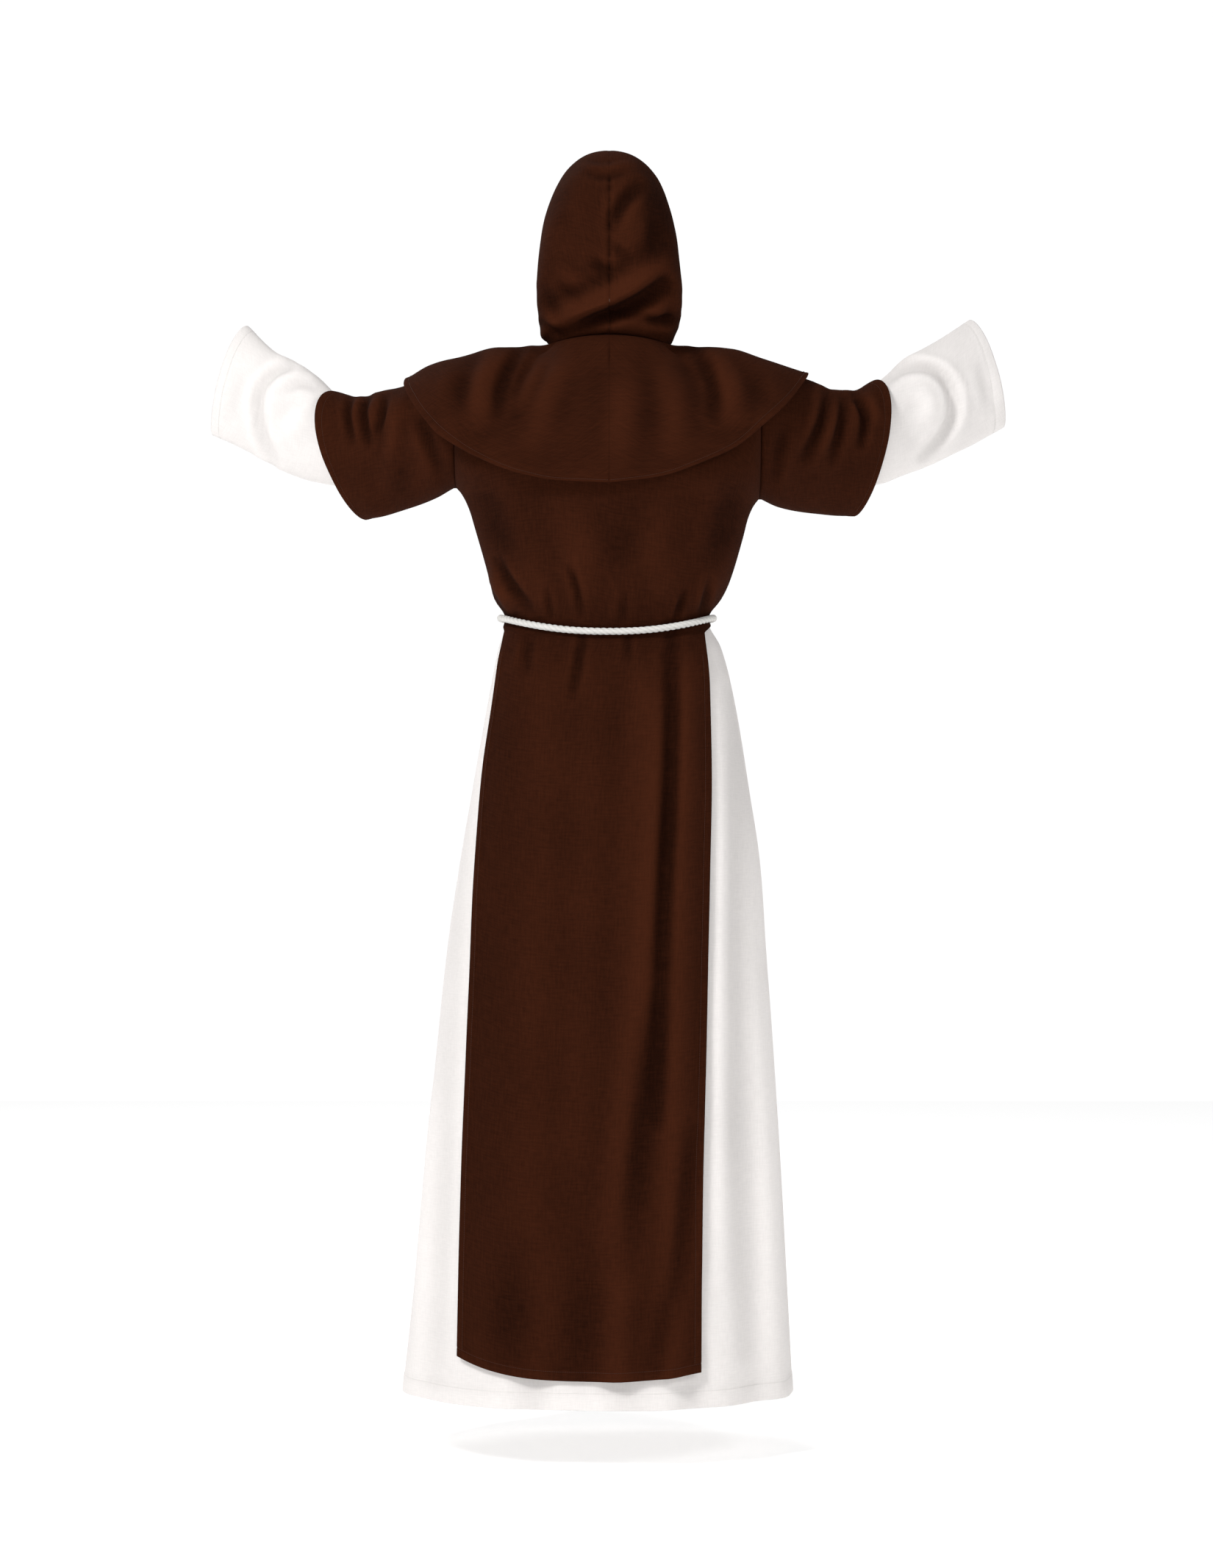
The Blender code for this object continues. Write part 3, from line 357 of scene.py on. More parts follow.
# %% [markdown]
# The finishes. Shader maths reads best as Python expressions, so a small class wraps a socket and
# adds a Math node for each operator. Every other node comes from its one other method.

# %% Shader maths


class Wire:
    """An output socket. Operators on it add Math nodes; node() adds any other node."""

    def __init__(self, tree, socket=None):
        self.tree = tree
        self.socket = socket

    def node(self, kind, settings=(), values=(), output=0):
        """Adds a node: first its settings, then the values or links of its sockets."""
        made = self.tree.nodes.new(kind)
        for name, value in dict(settings).items():
            if name == "stops":
                ramp = made.color_ramp.elements
                for element, (place, colour) in zip((ramp[0], ramp[1]), value):
                    element.position = place
                    element.color = colour
            else:
                setattr(made, name, value)
        for name, value in dict(values).items():
            if isinstance(value, Wire):
                self.tree.links.new(value.socket, made.inputs[name])
            else:
                made.inputs[name].default_value = value
        return Wire(self.tree, made.outputs[output])

    def math(self, operation, first, second=0.0):
        return self.node("ShaderNodeMath", {"operation": operation}, {0: first, 1: second})

    def __add__(self, other):
        return self.math("ADD", self, other)

    def __radd__(self, other):
        return self.math("ADD", other, self)

    def __sub__(self, other):
        return self.math("SUBTRACT", self, other)

    def __rsub__(self, other):
        return self.math("SUBTRACT", other, self)

    def __mul__(self, other):
        return self.math("MULTIPLY", self, other)

    def __rmul__(self, other):
        return self.math("MULTIPLY", other, self)

    def sine(self):
        return self.math("SINE", self)


# %% [markdown]
# Both cloths are plain weaves. Over and under, warp and weft make a small chequer of bumps: the
# product of a sine across and a sine down. Noise breaks it up into single yarns, shifts the dye a
# little over the piece and makes the nap catch the light unevenly. Both read the cloth's own map.
# The attribute fold paints shade into the base colour in the troughs and light onto the ridges,
# so the folds show more strongly than the lamps alone make them.

# %% Cloth and rope finishes
CLOUD_SCALE = 7.0
YARN_STRETCH = 0.12
YARN_NOISE = 0.35
CHEQUER_DYE = 0.25
GLOSS_RANGE = 0.08
CHEQUER_RISE = 0.5
YARN_RISE = 1.5
YARN_DEPTH = 0.3
FIBRES = (2600.0, 260.0, 0.0)
FIBRE_DEPTH = 0.0004
GROOVE_PAINTED_SHADE = 0.62


def woven(name, colour, spread, yarn, roughness, shine, mottle, slubs, bump, painted_fold_shade=0.0):
    """Plain weave: colour and how far it varies, yarn spacing in metres, roughness, shine, uneven
    dye, slubs, relief, and how much shade is painted into the troughs and light onto the ridges."""
    finish = bpy.data.materials.new(name)
    finish.use_nodes = True
    finish.diffuse_color = (*colour, 1.0)
    tree = finish.node_tree
    shader = tree.nodes["Principled BSDF"]
    start = Wire(tree)
    place = start.node("ShaderNodeUVMap", {"uv_map": "cloth"})
    across = place.node("ShaderNodeSeparateXYZ", (), {0: place}, 0)
    down = place.node("ShaderNodeSeparateXYZ", (), {0: place}, 1)
    solid = start.node("ShaderNodeTexCoord", output=3)

    cloud = solid.node("ShaderNodeTexNoise", (), {"Vector": solid, "Scale": CLOUD_SCALE, "Detail": 4.0})
    stretched = place.node("ShaderNodeVectorMath", {"operation": "MULTIPLY"},
                           {0: place, 1: (1.0 / yarn, YARN_STRETCH / yarn, 0.0)})
    warp = place.node("ShaderNodeTexNoise", {"noise_dimensions": "2D"},
                      {"Vector": stretched, "Scale": YARN_NOISE, "Detail": 2.0})
    turned = place.node("ShaderNodeVectorMath", {"operation": "MULTIPLY"},
                        {0: place, 1: (YARN_STRETCH / yarn, 1.0 / yarn, 0.0)})
    weft = place.node("ShaderNodeTexNoise", {"noise_dimensions": "2D"},
                      {"Vector": turned, "Scale": YARN_NOISE, "Detail": 2.0})
    turn = 2 * math.pi / yarn
    chequer = (across * turn).sine() * (down * turn).sine()
    yarns = warp + weft - 1.0

    fold = start.node("ShaderNodeAttribute", {"attribute_name": "fold"}, (), 2)
    dye = (cloud - 0.5) * mottle + yarns * slubs + chequer * (slubs * CHEQUER_DYE)
    # Painted shade and light: the attribute fold darkens the base colour in the creases and lightens it
    # on the ridges.
    shade = dye + fold * painted_fold_shade + 0.5
    dark = tuple(channel * (1 - spread) for channel in colour)
    light = tuple(min(1.0, channel * (1 + spread)) for channel in colour)
    dye_and_painted_shade = shade.node("ShaderNodeMix", {"data_type": "RGBA"},
                      {0: shade, 6: (*dark, 1.0), 7: (*light, 1.0)}, 2)
    tree.links.new(dye_and_painted_shade.socket, shader.inputs["Base Color"])
    gloss = roughness + (cloud - 0.5) * GLOSS_RANGE
    tree.links.new(gloss.socket, shader.inputs["Roughness"])
    relief = chequer * CHEQUER_RISE + yarns * YARN_RISE
    raised = relief.node("ShaderNodeBump", (),
                         {"Height": relief, "Strength": bump, "Distance": yarn * YARN_DEPTH})
    tree.links.new(raised.socket, shader.inputs["Normal"])
    shader.inputs["Sheen Weight"].default_value = shine / 4
    shader.inputs["Sheen Roughness"].default_value = 0.5
    shader.inputs["Sheen Tint"].default_value = (*(channel ** 0.5 for channel in colour), 1.0)
    shader.inputs["Specular IOR Level"].default_value = shine
    return finish


def spun(name, colour, roughness):
    """Cotton rope: fine fibres along the strands, with painted shade that greys the grooves between
    them.
    """
    finish = bpy.data.materials.new(name)
    finish.use_nodes = True
    finish.diffuse_color = (*colour, 1.0)
    tree = finish.node_tree
    shader = tree.nodes["Principled BSDF"]
    start = Wire(tree)
    place = start.node("ShaderNodeUVMap", {"uv_map": "cloth"})
    groove = start.node("ShaderNodeAttribute", {"attribute_name": "groove"}, (), 2)
    along = place.node("ShaderNodeVectorMath", {"operation": "MULTIPLY"},
                       {0: place, 1: FIBRES})
    fibre = place.node("ShaderNodeTexNoise", {"noise_dimensions": "2D"},
                       {"Vector": along, "Scale": 1.0, "Detail": 3.0})
    # Painted shade: the base colour greys towards each strand's inner side, in the grooves between the
    # strands.
    shade = 0.72 - groove * 0.55 + (fibre - 0.5) * 0.5
    grey = tuple(channel * GROOVE_PAINTED_SHADE for channel in colour)
    dye_and_painted_shade = shade.node("ShaderNodeMix", {"data_type": "RGBA"},
                      {0: shade, 6: (*grey, 1.0), 7: (*colour, 1.0)}, 2)
    tree.links.new(dye_and_painted_shade.socket, shader.inputs["Base Color"])
    raised = fibre.node("ShaderNodeBump", (),
                        {"Height": fibre, "Strength": 0.5, "Distance": FIBRE_DEPTH})
    tree.links.new(raised.socket, shader.inputs["Normal"])
    shader.inputs["Roughness"].default_value = roughness
    shader.inputs["Sheen Weight"].default_value = 0.2
    return finish


# Colour, spread, yarn, roughness, shine, dye, slubs, relief, painted shade and light of the folds
WHITE = woven("robe white", (0.81, 0.775, 0.755), 0.16, 0.0007, 0.80, 0.25, 0.25, 0.30, 0.22, 0.35)
BROWN = woven("habit brown", (0.0330, 0.0084, 0.0032), 0.60, 0.0009, 0.95, 0.035, 0.26, 0.40, 0.50,
              0.50)
BROWN_THREAD = woven("brown thread", (0.050, 0.016, 0.008), 0.3, 0.0004, 0.7, 0.2, 0.2, 0.3, 0.3)
WHITE_THREAD = woven("white thread", (0.74, 0.72, 0.70), 0.2, 0.0004, 0.6, 0.2, 0.1, 0.1, 0.3)
COTTON = spun("rope cotton", (0.86, 0.84, 0.80), 0.85)
print("finishes", [finish.name for finish in (WHITE, BROWN, BROWN_THREAD, WHITE_THREAD, COTTON)])

# %% [markdown]
# The body's form. Below the armpits it is a stack of rounded rings, which dip a little where the
# belt pulls the cloth down at the back. The skirt's long folds are given by their angle.

# %% Form below the armpits

# Degrees from the back middle (right plus), half width in degrees, height, where it begins
SKIRT_FOLDS = (
    (-150.0, 13.0, 0.010, -0.60),
    (-118.0, 12.0, -0.008, -0.80),
    (-62.0, 10.0, -0.006, -0.95),
    (-28.0, 12.0, 0.008, -0.70),
    (8.0, 12.0, 0.009, -0.62),
    (52.0, 9.0, -0.010, -0.60),
    (66.0, 8.0, 0.006, -0.75),
    (116.0, 12.0, -0.009, -0.72),
    (142.0, 11.0, 0.009, -0.60),
    (176.0, 12.0, 0.008, -0.75),
)


def skirt_fold(face, angle, height):
    """Sum of bells round the body, each growing from where it begins down to the hem."""
    turn = np.degrees(angle)
    if face > 0:
        turn = np.where(turn >= 0, 180.0 - turn, -180.0 - turn)
    out = np.zeros(np.broadcast(turn, height).shape)
    for centre, half_width, size, top in SKIRT_FOLDS:
        away = (turn - centre + 180.0) % 360.0 - 180.0
        grown = ease((top - height) / (top - ROBE_HEM))
        out = out + size * grown * np.exp(-(away / half_width) ** 2)
    return out


def body_below(face, angle, height, out):
    """Ring at a height: superellipse of its reaches plus out. face is -1 back, 1 front."""
    across, deep = outline(angle)
    half = np.where(across < 0, curve(ROBE_RINGS, LEFT, height), curve(ROBE_RINGS, RIGHT, height))
    half = half + out
    depth = curve(ROBE_RINGS, BACK if face < 0 else FRONT, height) + out
    fold = skirt_fold(face, angle, height)
    size = np.maximum(np.hypot(across * depth, deep * half), 1e-9)
    x = across * half + fold * across * depth / size
    y = face * (deep * depth + fold * deep * half / size)
    dip = BELT_DIP_BACK if face < 0 else BELT_DIP_FRONT
    near_belt = np.exp(-((height - BELT_HEIGHT) / BELT_SPREAD) ** 2)
    up = ease((height - BELT_HEIGHT) / (ARMPIT - BELT_HEIGHT))
    z = height - dip * np.cos(angle) ** 2 * near_belt + ARMPIT_TILT * across * up
    return np.stack(np.broadcast_arrays(x, y, z), axis=-1)


# %% [markdown]
# Above the armpits each ring opens into the yoke. It runs from the armpit over the shoulder blade
# or the chest to the shoulder line, while its sides follow the round armholes and its top
# follows the round neck. One turn of 180 degrees takes it from the armpit to the shoulder.

# %% Form of the yoke
NECK_EDGE = 0.5
NECK_SOFTER = 0.7
NECK_SOFT_TURN = math.radians(60)
YOKE_DROP = 1.3
EVEN_FROM = 0.75


def neck_share(x, turn, out):
    """1 at the middle of the neckline and 0 past it; wider and softer down the yoke."""
    reach = NECK_HALF_WIDTH + out + NECK_SPREAD * (1 - np.cos(turn)) / 2
    inside = np.clip(1 - (x / reach) ** 2, 0, 1)
    return inside ** (NECK_EDGE + NECK_SOFTER * ease(turn / NECK_SOFT_TURN))


def shoulder_height(face, x, out):
    """Shoulder line, raised at the nape and lowered at the throat."""
    middle = NECK_BACK_RISE if face < 0 else -NECK_FRONT_DROP
    return curve(SHOULDER_LINE, 1, np.abs(x)) + middle * neck_share(x, 0.0, out) ** 2 + out


def body_above(face, across, turn, out, bridge=0.0):
    """Yoke: turn 180 degrees is the armpit, 0 the shoulder line; across is -1 to 1."""
    half = np.where(across < 0, ARMHOLE_LEFT, ARMHOLE_RIGHT) + out
    x = across * half
    deep = np.clip(1 - (np.abs(x) / (half + bridge)) ** ROUNDNESS, 0, 1) ** (1 / ROUNDNESS)
    high = (1 + np.cos(turn)) / 2
    low = 1 - high
    neck = neck_share(x, turn, out)
    bulge = BACK_BULGE if face < 0 else CHEST_BULGE
    bulge = bulge + (ARMHOLE_DEPTH - bulge) * across ** 2
    depth = curve(ROBE_RINGS, BACK if face < 0 else FRONT, ARMPIT)
    reach = neck * (NECK_BACK if face < 0 else NECK_FRONT) * high
    reach = reach + bulge * np.sin(turn) + depth * deep * low ** YOKE_DROP
    layer = np.sqrt(np.sin(turn) ** 2 + (deep * low) ** 2 + (neck * high) ** 2)
    y = face * (reach + out * np.minimum(layer, 1.0))
    armpit = ARMPIT + ARMPIT_TILT * across - out
    z = shoulder_height(face, x, out) * high + armpit * low
    return np.stack(np.broadcast_arrays(x, y, z), axis=-1)


def yoke(face, out, angle, turn):
    """Grid of the yoke: steps even in angle at the armpit and even in width at the shoulder."""
    even = ease(EVEN_FROM * (1 + np.cos(turn)))
    across = outline(angle)[0] * (1 - even) + angle / HALF * even
    return body_above(face, across, turn, out)


# %% [markdown]
# Steps of the grids. They are even, but for a few close rows at an edge where the hem is turned
# up: there the cloth is twice as thick for a finger's breadth, and a small step shows. Its stitch
# line is one of those rows, so the thread can be laid along it later.

# %% Steps and hems
BODY_STEP = 0.0075
ROBE_HEM_WIDTH = 0.025
PANEL_HEM_WIDTH = 0.014
CAPE_HEM_WIDTH = 0.007
STITCH_ROW = 4
STITCH_INSET = 0.0020
STITCH_BESIDE = 0.0014
STITCH_DENT = 0.0008
STITCH_DENT_WIDTH = 0.0011
FOLD_OVER = 0.0010
HEM_FOLD_SHARE = 0.4
HEM_SOFT = 0.0018


def edge_steps(width):
    """Distances from an edge over its hem. The fifth is the stitch line."""
    line = width - STITCH_INSET
    return np.array((0.0, FOLD_OVER, HEM_FOLD_SHARE * width, line - STITCH_BESIDE, line,
                     line + STITCH_BESIDE, width + FOLD_OVER))


def rows_up(bottom, top, width, step=BODY_STEP):
    """Heights from a hem up: close ones over the hem, then even ones."""
    first = bottom + edge_steps(width)
    count = max(2, int((top - first[-1]) / step))
    return np.concatenate((first, np.linspace(first[-1], top, count + 1)[1:]))


def hem_relief(distance, width, rise=0.0008):
    """Height of a turned-up edge: a low step past the stitch line, which is drawn in."""
    step = rise * (1 - ease((distance - width + FOLD_OVER) / HEM_SOFT))
    from_line = distance - width + STITCH_INSET
    return step - STITCH_DENT * np.exp(-(from_line / STITCH_DENT_WIDTH) ** 2)


def from_edges(grid):
    """Distance of each point from the nearer side edge, along the cloth."""
    u = cloth_map(grid, False)[..., 0]
    return np.minimum(u - u[:, :1], u[:, -1:] - u)


# %% [markdown]
# One helper finishes every cut piece in the same way: its cloth, its body and the solid that it
# stands for, which it hides.

# %% Finishing a cut piece
grids = {}


def sew(node, made, middle, closed, thickness, finish):
    """Makes a cut piece of a grid and its relief, and hides the solid that it stands for. Returns the
    object.
    """
    grid, relief = made
    piece = sheet_mesh(node + "_cloth", grid, relief, middle, closed)
    thicken(piece, thickness)
    piece.data.materials.append(finish)
    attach(piece, BODY)
    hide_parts(node)
    grids[node] = grid
    return piece


# %% [markdown]
# The white robe. Its skirt falls from the belt to the ankles; at the right it shows a broad
# smooth ridge beside the brown panel and a soft trough outside it. Its back and front are each
# one piece from the shoulder to the hem, joined to the other down the sides. The creases of the
# tunic come first, as the robe under it gives way where they go inwards.

# %% White robe, back and front
JOIN_ROWS = 7.0
JOIN_PASSES = 40
JOIN_SIDE = 0.30
YOKE_ROWS = 40
CREASE_SIDE = 0.12
HEM_SIDE = 0.02
ROBE_FOLDS_FROM = -0.43
ROBE_FOLDS_GROW = 0.05
ROBE_RIPPLE = 0.0007


def yoke_join(below, above, from_side):
    """Near 1 at the rows where the rings end and the yoke begins, a bell in rows; 0 at the
    side seams, which keep their armpits' corners."""
    away = (np.arange(below + above) - below) / JOIN_ROWS
    return np.exp(-away ** 2)[:, None] * ease(from_side / JOIN_SIDE)


# The torso's folds: path across and down from behind, width, height
TORSO_DEPTH = 1.3
TORSO_BACK_CREASES = (
    (((-0.157, -0.305), (-0.140, -0.336), (-0.112, -0.372)), 0.0070, -0.0050),
    (((-0.169, -0.325), (-0.152, -0.352), (-0.138, -0.376)), 0.0060, 0.0040),
    (((-0.087, -0.350), (-0.082, -0.384)), 0.0045, -0.0028),
    (((-0.056, -0.318), (-0.046, -0.346), (-0.040, -0.380)), 0.0055, -0.0042),
    (((0.022, -0.352), (0.016, -0.392)), 0.0070, -0.0024),
    (((0.105, -0.352), (0.092, -0.388)), 0.0050, -0.0034),
    (((0.140, -0.335), (0.136, -0.356), (0.130, -0.378)), 0.0055, -0.0040),
    (((-0.175, -0.205), (-0.156, -0.262), (-0.140, -0.300)), 0.016, -0.0018),
    (((0.174, -0.200), (0.162, -0.255), (0.148, -0.310)), 0.018, -0.0022),
    (((-0.060, -0.235), (-0.044, -0.290), (-0.030, -0.330)), 0.024, 0.0016),
    (((0.075, -0.230), (0.062, -0.285), (0.060, -0.330)), 0.022, 0.0014),
    (((0.018, -0.260), (0.012, -0.320)), 0.024, -0.0012),
)
TORSO_FRONT_CREASES = (
    (((-0.150, -0.305), (-0.130, -0.340), (-0.112, -0.378)), 0.0065, -0.0044),
    (((-0.060, -0.335), (-0.052, -0.378)), 0.0055, -0.0034),
    (((0.048, -0.330), (0.042, -0.378)), 0.0055, -0.0036),
    (((0.096, -0.340), (0.086, -0.378)), 0.0050, -0.0032),
    (((0.150, -0.310), (0.134, -0.345), (0.120, -0.378)), 0.0065, -0.0044),
    (((-0.168, -0.205), (-0.146, -0.262), (-0.125, -0.300)), 0.018, -0.0034),
    (((0.168, -0.205), (0.150, -0.262), (0.130, -0.300)), 0.018, -0.0034),
)

# Folds of the tunic's panels, which the robe under them follows where they go inwards
TUNIC_BACK_CREASES = TORSO_BACK_CREASES + (
    (((0.086, -0.402), (0.087, -0.52), (0.083, -0.64), (0.075, -0.78), (0.066, -1.08)),
     0.0110, -0.0048),
    (((0.064, -0.50), (0.060, -0.66), (0.050, -0.82), (0.036, -1.06)), 0.013, 0.0026),
    (((0.062, -0.92), (0.042, -1.10), (0.020, -1.28)), 0.019, -0.0038),
    (((0.110, -1.10), (0.096, -1.26), (0.070, -1.41)), 0.014, -0.0034),
    (((-0.036, -0.408), (-0.043, -0.45), (-0.052, -0.495)), 0.0070, -0.0032),
    (((0.026, -0.408), (0.025, -0.446)), 0.0060, -0.0020),
    (((-0.112, -0.412), (-0.118, -0.462)), 0.0080, -0.0022),
    (((-0.128, -1.24), (-0.136, -1.44)), 0.026, -0.0018),
    (((-0.030, -1.26), (-0.044, -1.44)), 0.026, -0.0016),
)
TUNIC_FRONT_CREASES = TORSO_FRONT_CREASES + (
    (((-0.066, -0.404), (-0.072, -0.55), (-0.086, -0.80), (-0.092, -1.10)), 0.013, -0.0048),
    (((0.018, -0.404), (0.016, -0.47)), 0.0070, -0.0028),
    (((0.082, -0.404), (0.086, -0.60), (0.096, -0.90), (0.100, -1.30)), 0.014, -0.0044),
    (((0.008, -1.08), (0.002, -1.40)), 0.018, -0.0034),
)

# Folds of the skirt: path across and down from behind, width, height
ROBE_BACK_CREASES = (
    (((0.176, -0.49), (0.180, -0.70), (0.181, -1.02), (0.190, -1.40)), 0.017, -0.0065),
    (((0.148, -0.44), (0.158, -0.60), (0.156, -0.90), (0.150, -1.30)), 0.012, 0.0030),
    (((0.222, -0.90), (0.232, -1.44)), 0.014, 0.0030),
    (((-0.205, -0.62), (-0.226, -0.95), (-0.240, -1.44)), 0.016, -0.0035),
    (((-0.246, -1.05), (-0.268, -1.46)), 0.014, 0.0030),
    (((-0.10, -1.40), (-0.11, -1.50)), 0.022, -0.0040),
    (((0.02, -1.41), (0.03, -1.50)), 0.025, -0.0035),
    (((0.112, -1.40), (0.118, -1.50)), 0.020, -0.0040),
)
ROBE_FRONT_CREASES = (
    (((0.176, -0.50), (0.190, -0.85), (0.205, -1.42)), 0.018, -0.0060),
    (((-0.172, -0.48), (-0.190, -0.80), (-0.215, -1.43)), 0.018, -0.0060),
    (((0.212, -0.80), (0.232, -1.44)), 0.014, 0.0035),
    (((-0.214, -0.90), (-0.246, -1.44)), 0.014, 0.0035),
    (((-0.05, -1.40), (-0.06, -1.50)), 0.024, -0.0040),
    (((0.07, -1.40), (0.08, -1.50)), 0.022, -0.0040),
)


def robe_panel(face, columns):
    """Rings from the hem to the armpits and the yoke above, pushed out by creases and hem."""
    rows = rows_up(ROBE_HEM, ARMPIT - BODY_STEP, ROBE_HEM_WIDTH)[:, None]
    angle = np.linspace(-HALF, HALF, columns)[None, :]
    turn = np.linspace(math.pi, 0, YOKE_ROWS)[:, None]
    grid = np.concatenate((body_below(face, angle, rows, 0.0), yoke(face, 0.0, angle, turn)))
    grid = soften(grid, yoke_join(len(rows), len(turn), HALF - np.abs(angle)), JOIN_PASSES, 0)
    x, z = grid[..., 0], grid[..., 2]
    inside = ease((HALF - np.abs(angle)) / CREASE_SIDE)
    below_belt = ease((ROBE_FOLDS_FROM - z) / ROBE_FOLDS_GROW)
    amount = creases(x, z, ROBE_BACK_CREASES if face < 0 else ROBE_FRONT_CREASES)
    amount += ROBE_RIPPLE * ripple(x, z, 0.21, 3 + face)
    amount *= inside * below_belt
    above = creases(x, z, TUNIC_BACK_CREASES if face < 0 else TUNIC_FRONT_CREASES, TORSO_DEPTH)
    amount += np.minimum(above, 0.0) * inside
    distance = np.concatenate((rows[:, 0] - ROBE_HEM, np.ones(len(turn))))[:, None]
    amount += hem_relief(distance, ROBE_HEM_WIDTH) * ease((HALF - np.abs(angle)) / HEM_SIDE)
    return push(grid, amount, np.stack((0 * x, 0 * x, z), axis=-1)), amount


for face, node, columns in ((-1, "robe_back", 121), (1, "robe_front", 101)):
    sew(node, robe_panel(face, columns), (0, 0, -0.6), False, ROBE_CLOTH, WHITE)

# %% [markdown]
# The brown tunic. Above the belt it goes all round the body; below, it is slit up both sides to
# the belt, and leaves one long panel behind and one in front. The belt draws it in, so the cloth
# above blouses in short slanting pleats, and the panel falls from the belt in a few long ones.

# %% Tunic, back and front

# Height, left edge, right edge
BACK_PANEL = np.array((
    (-1.425, -0.2095, 0.1255),
    (-1.240, -0.2075, 0.1270),
    (-0.970, -0.1980, 0.1340),
    (-0.750, -0.1890, 0.1390),
    (-0.600, -0.1780, 0.1420),
    (-0.485, -0.1615, 0.1400),
    (-0.425, -0.1530, 0.1360),
    (-0.391, -0.1465, 0.1330),
))
FRONT_PANEL = np.array((
    (-1.425, -0.172, 0.164),
    (-0.970, -0.164, 0.156),
    (-0.600, -0.154, 0.146),
    (-0.425, -0.140, 0.132),
    (-0.391, -0.136, 0.128),
))
PANEL_HEM = -1.425
PANEL_HEM_SAG = 0.010
PANEL_LIFT = {-1: (0.023, 0.008), 1: (0.008, 0.016)}
SAG_HEIGHT = 0.12
SLIT_TOP = -0.389
SLIT_START = 0.012
SLIT_ZONE = (-0.412, -0.370)
SLIT_STEP = 0.0016
TUNIC_STEP = 0.0068
TUNIC_OFF = 0.0045
RIDGE_MEAN = 0.002
SEAM_FLAT = 0.35
PANEL_CLOTH_EDGE = 0.36
EDGE_LIMIT = 0.995
FOLDS_GROW = 0.10
FOLDS_END = 0.12
BLOUSE_GROW = 0.030
BLOUSE_FADE = 0.08
TUNIC_RIPPLE = 0.0006
SLIT_HEM = 0.03
SEAM_SHARE = 0.06

# Across at the belt and at the hem, half width, height, where it ends
PANEL_FOLDS_BACK = (
    (-0.085, -0.120, 0.030, 0.003, -1.40),
    (-0.020, -0.060, 0.026, 0.003, -1.10),
    (0.052, 0.010, 0.022, 0.007, -1.42),
    (0.115, 0.085, 0.017, 0.008, -1.42),
)
PANEL_FOLDS_FRONT = (
    (-0.100, -0.130, 0.026, 0.006, -1.42),
    (-0.035, -0.050, 0.024, 0.005, -1.20),
    (0.050, 0.070, 0.026, 0.007, -1.42),
    (0.105, 0.130, 0.020, 0.005, -1.42),
)

# Across, half width, height of the pleats above the belt
BLOUSE_FOLDS = (
    (-0.118, 0.012, 0.006),
    (-0.078, 0.014, 0.004),
    (-0.030, 0.012, 0.004),
    (0.012, 0.012, 0.003),
    (0.060, 0.013, 0.004),
    (0.108, 0.012, 0.006),
)
BLOUSE_TOP = -0.26

def tunic_out(z):
    return curve(TUNIC_OUT, 1, z)


def panel_angles(edges, rows, out, shares):
    """Angles of the steps: a whole half ring above the belt, from edge to edge below it."""
    steps = (shares - 0.5)[None, :] * math.pi
    halves = (curve(ROBE_RINGS, LEFT, rows) + out, curve(ROBE_RINGS, RIGHT, rows) + out)
    limits = []
    for number, side in ((1, -1), (2, 1)):
        across = np.clip(np.abs(curve(edges, number, rows)) / halves[number - 1], 0, EDGE_LIMIT)
        limits.append(side * np.arcsin(across ** (ROUNDNESS / 2)))
    below = limits[0] + (limits[1] - limits[0]) * shares[None, :]
    return steps + (below - steps) * ease((SLIT_TOP - rows) / SLIT_START)


def tunic_ridges(face, x, rows):
    """Long folds of the panel below the belt and short pleats above it: sums of bells in x."""
    ridge = np.zeros(x.shape)
    for at_belt, at_hem, half_width, height, end in PANEL_FOLDS_BACK if face < 0 else PANEL_FOLDS_FRONT:
        fallen = np.clip((BELT_HEIGHT - rows) / (BELT_HEIGHT - PANEL_HEM), 0, 1)
        centre = at_belt + (at_hem - at_belt) * fallen
        grown = ease((BELT_HEIGHT - ROPE - rows) / FOLDS_GROW) * ease((rows - end) / FOLDS_END + 1)
        ridge += height * grown * np.exp(-((x - centre) / half_width) ** 2)
    for centre, half_width, height in BLOUSE_FOLDS:
        grown = (ease((rows - BELT_HEIGHT - ROPE) / BLOUSE_GROW)
                 * ease((BLOUSE_TOP - rows) / BLOUSE_FADE))
        spread = 1 + 2 * np.clip((rows - BELT_HEIGHT) / (BLOUSE_TOP - BELT_HEIGHT), 0, 1)
        away = (x - centre * np.sqrt(spread)) / (half_width * spread)
        ridge += height * grown * np.exp(-away ** 2)
    return ridge


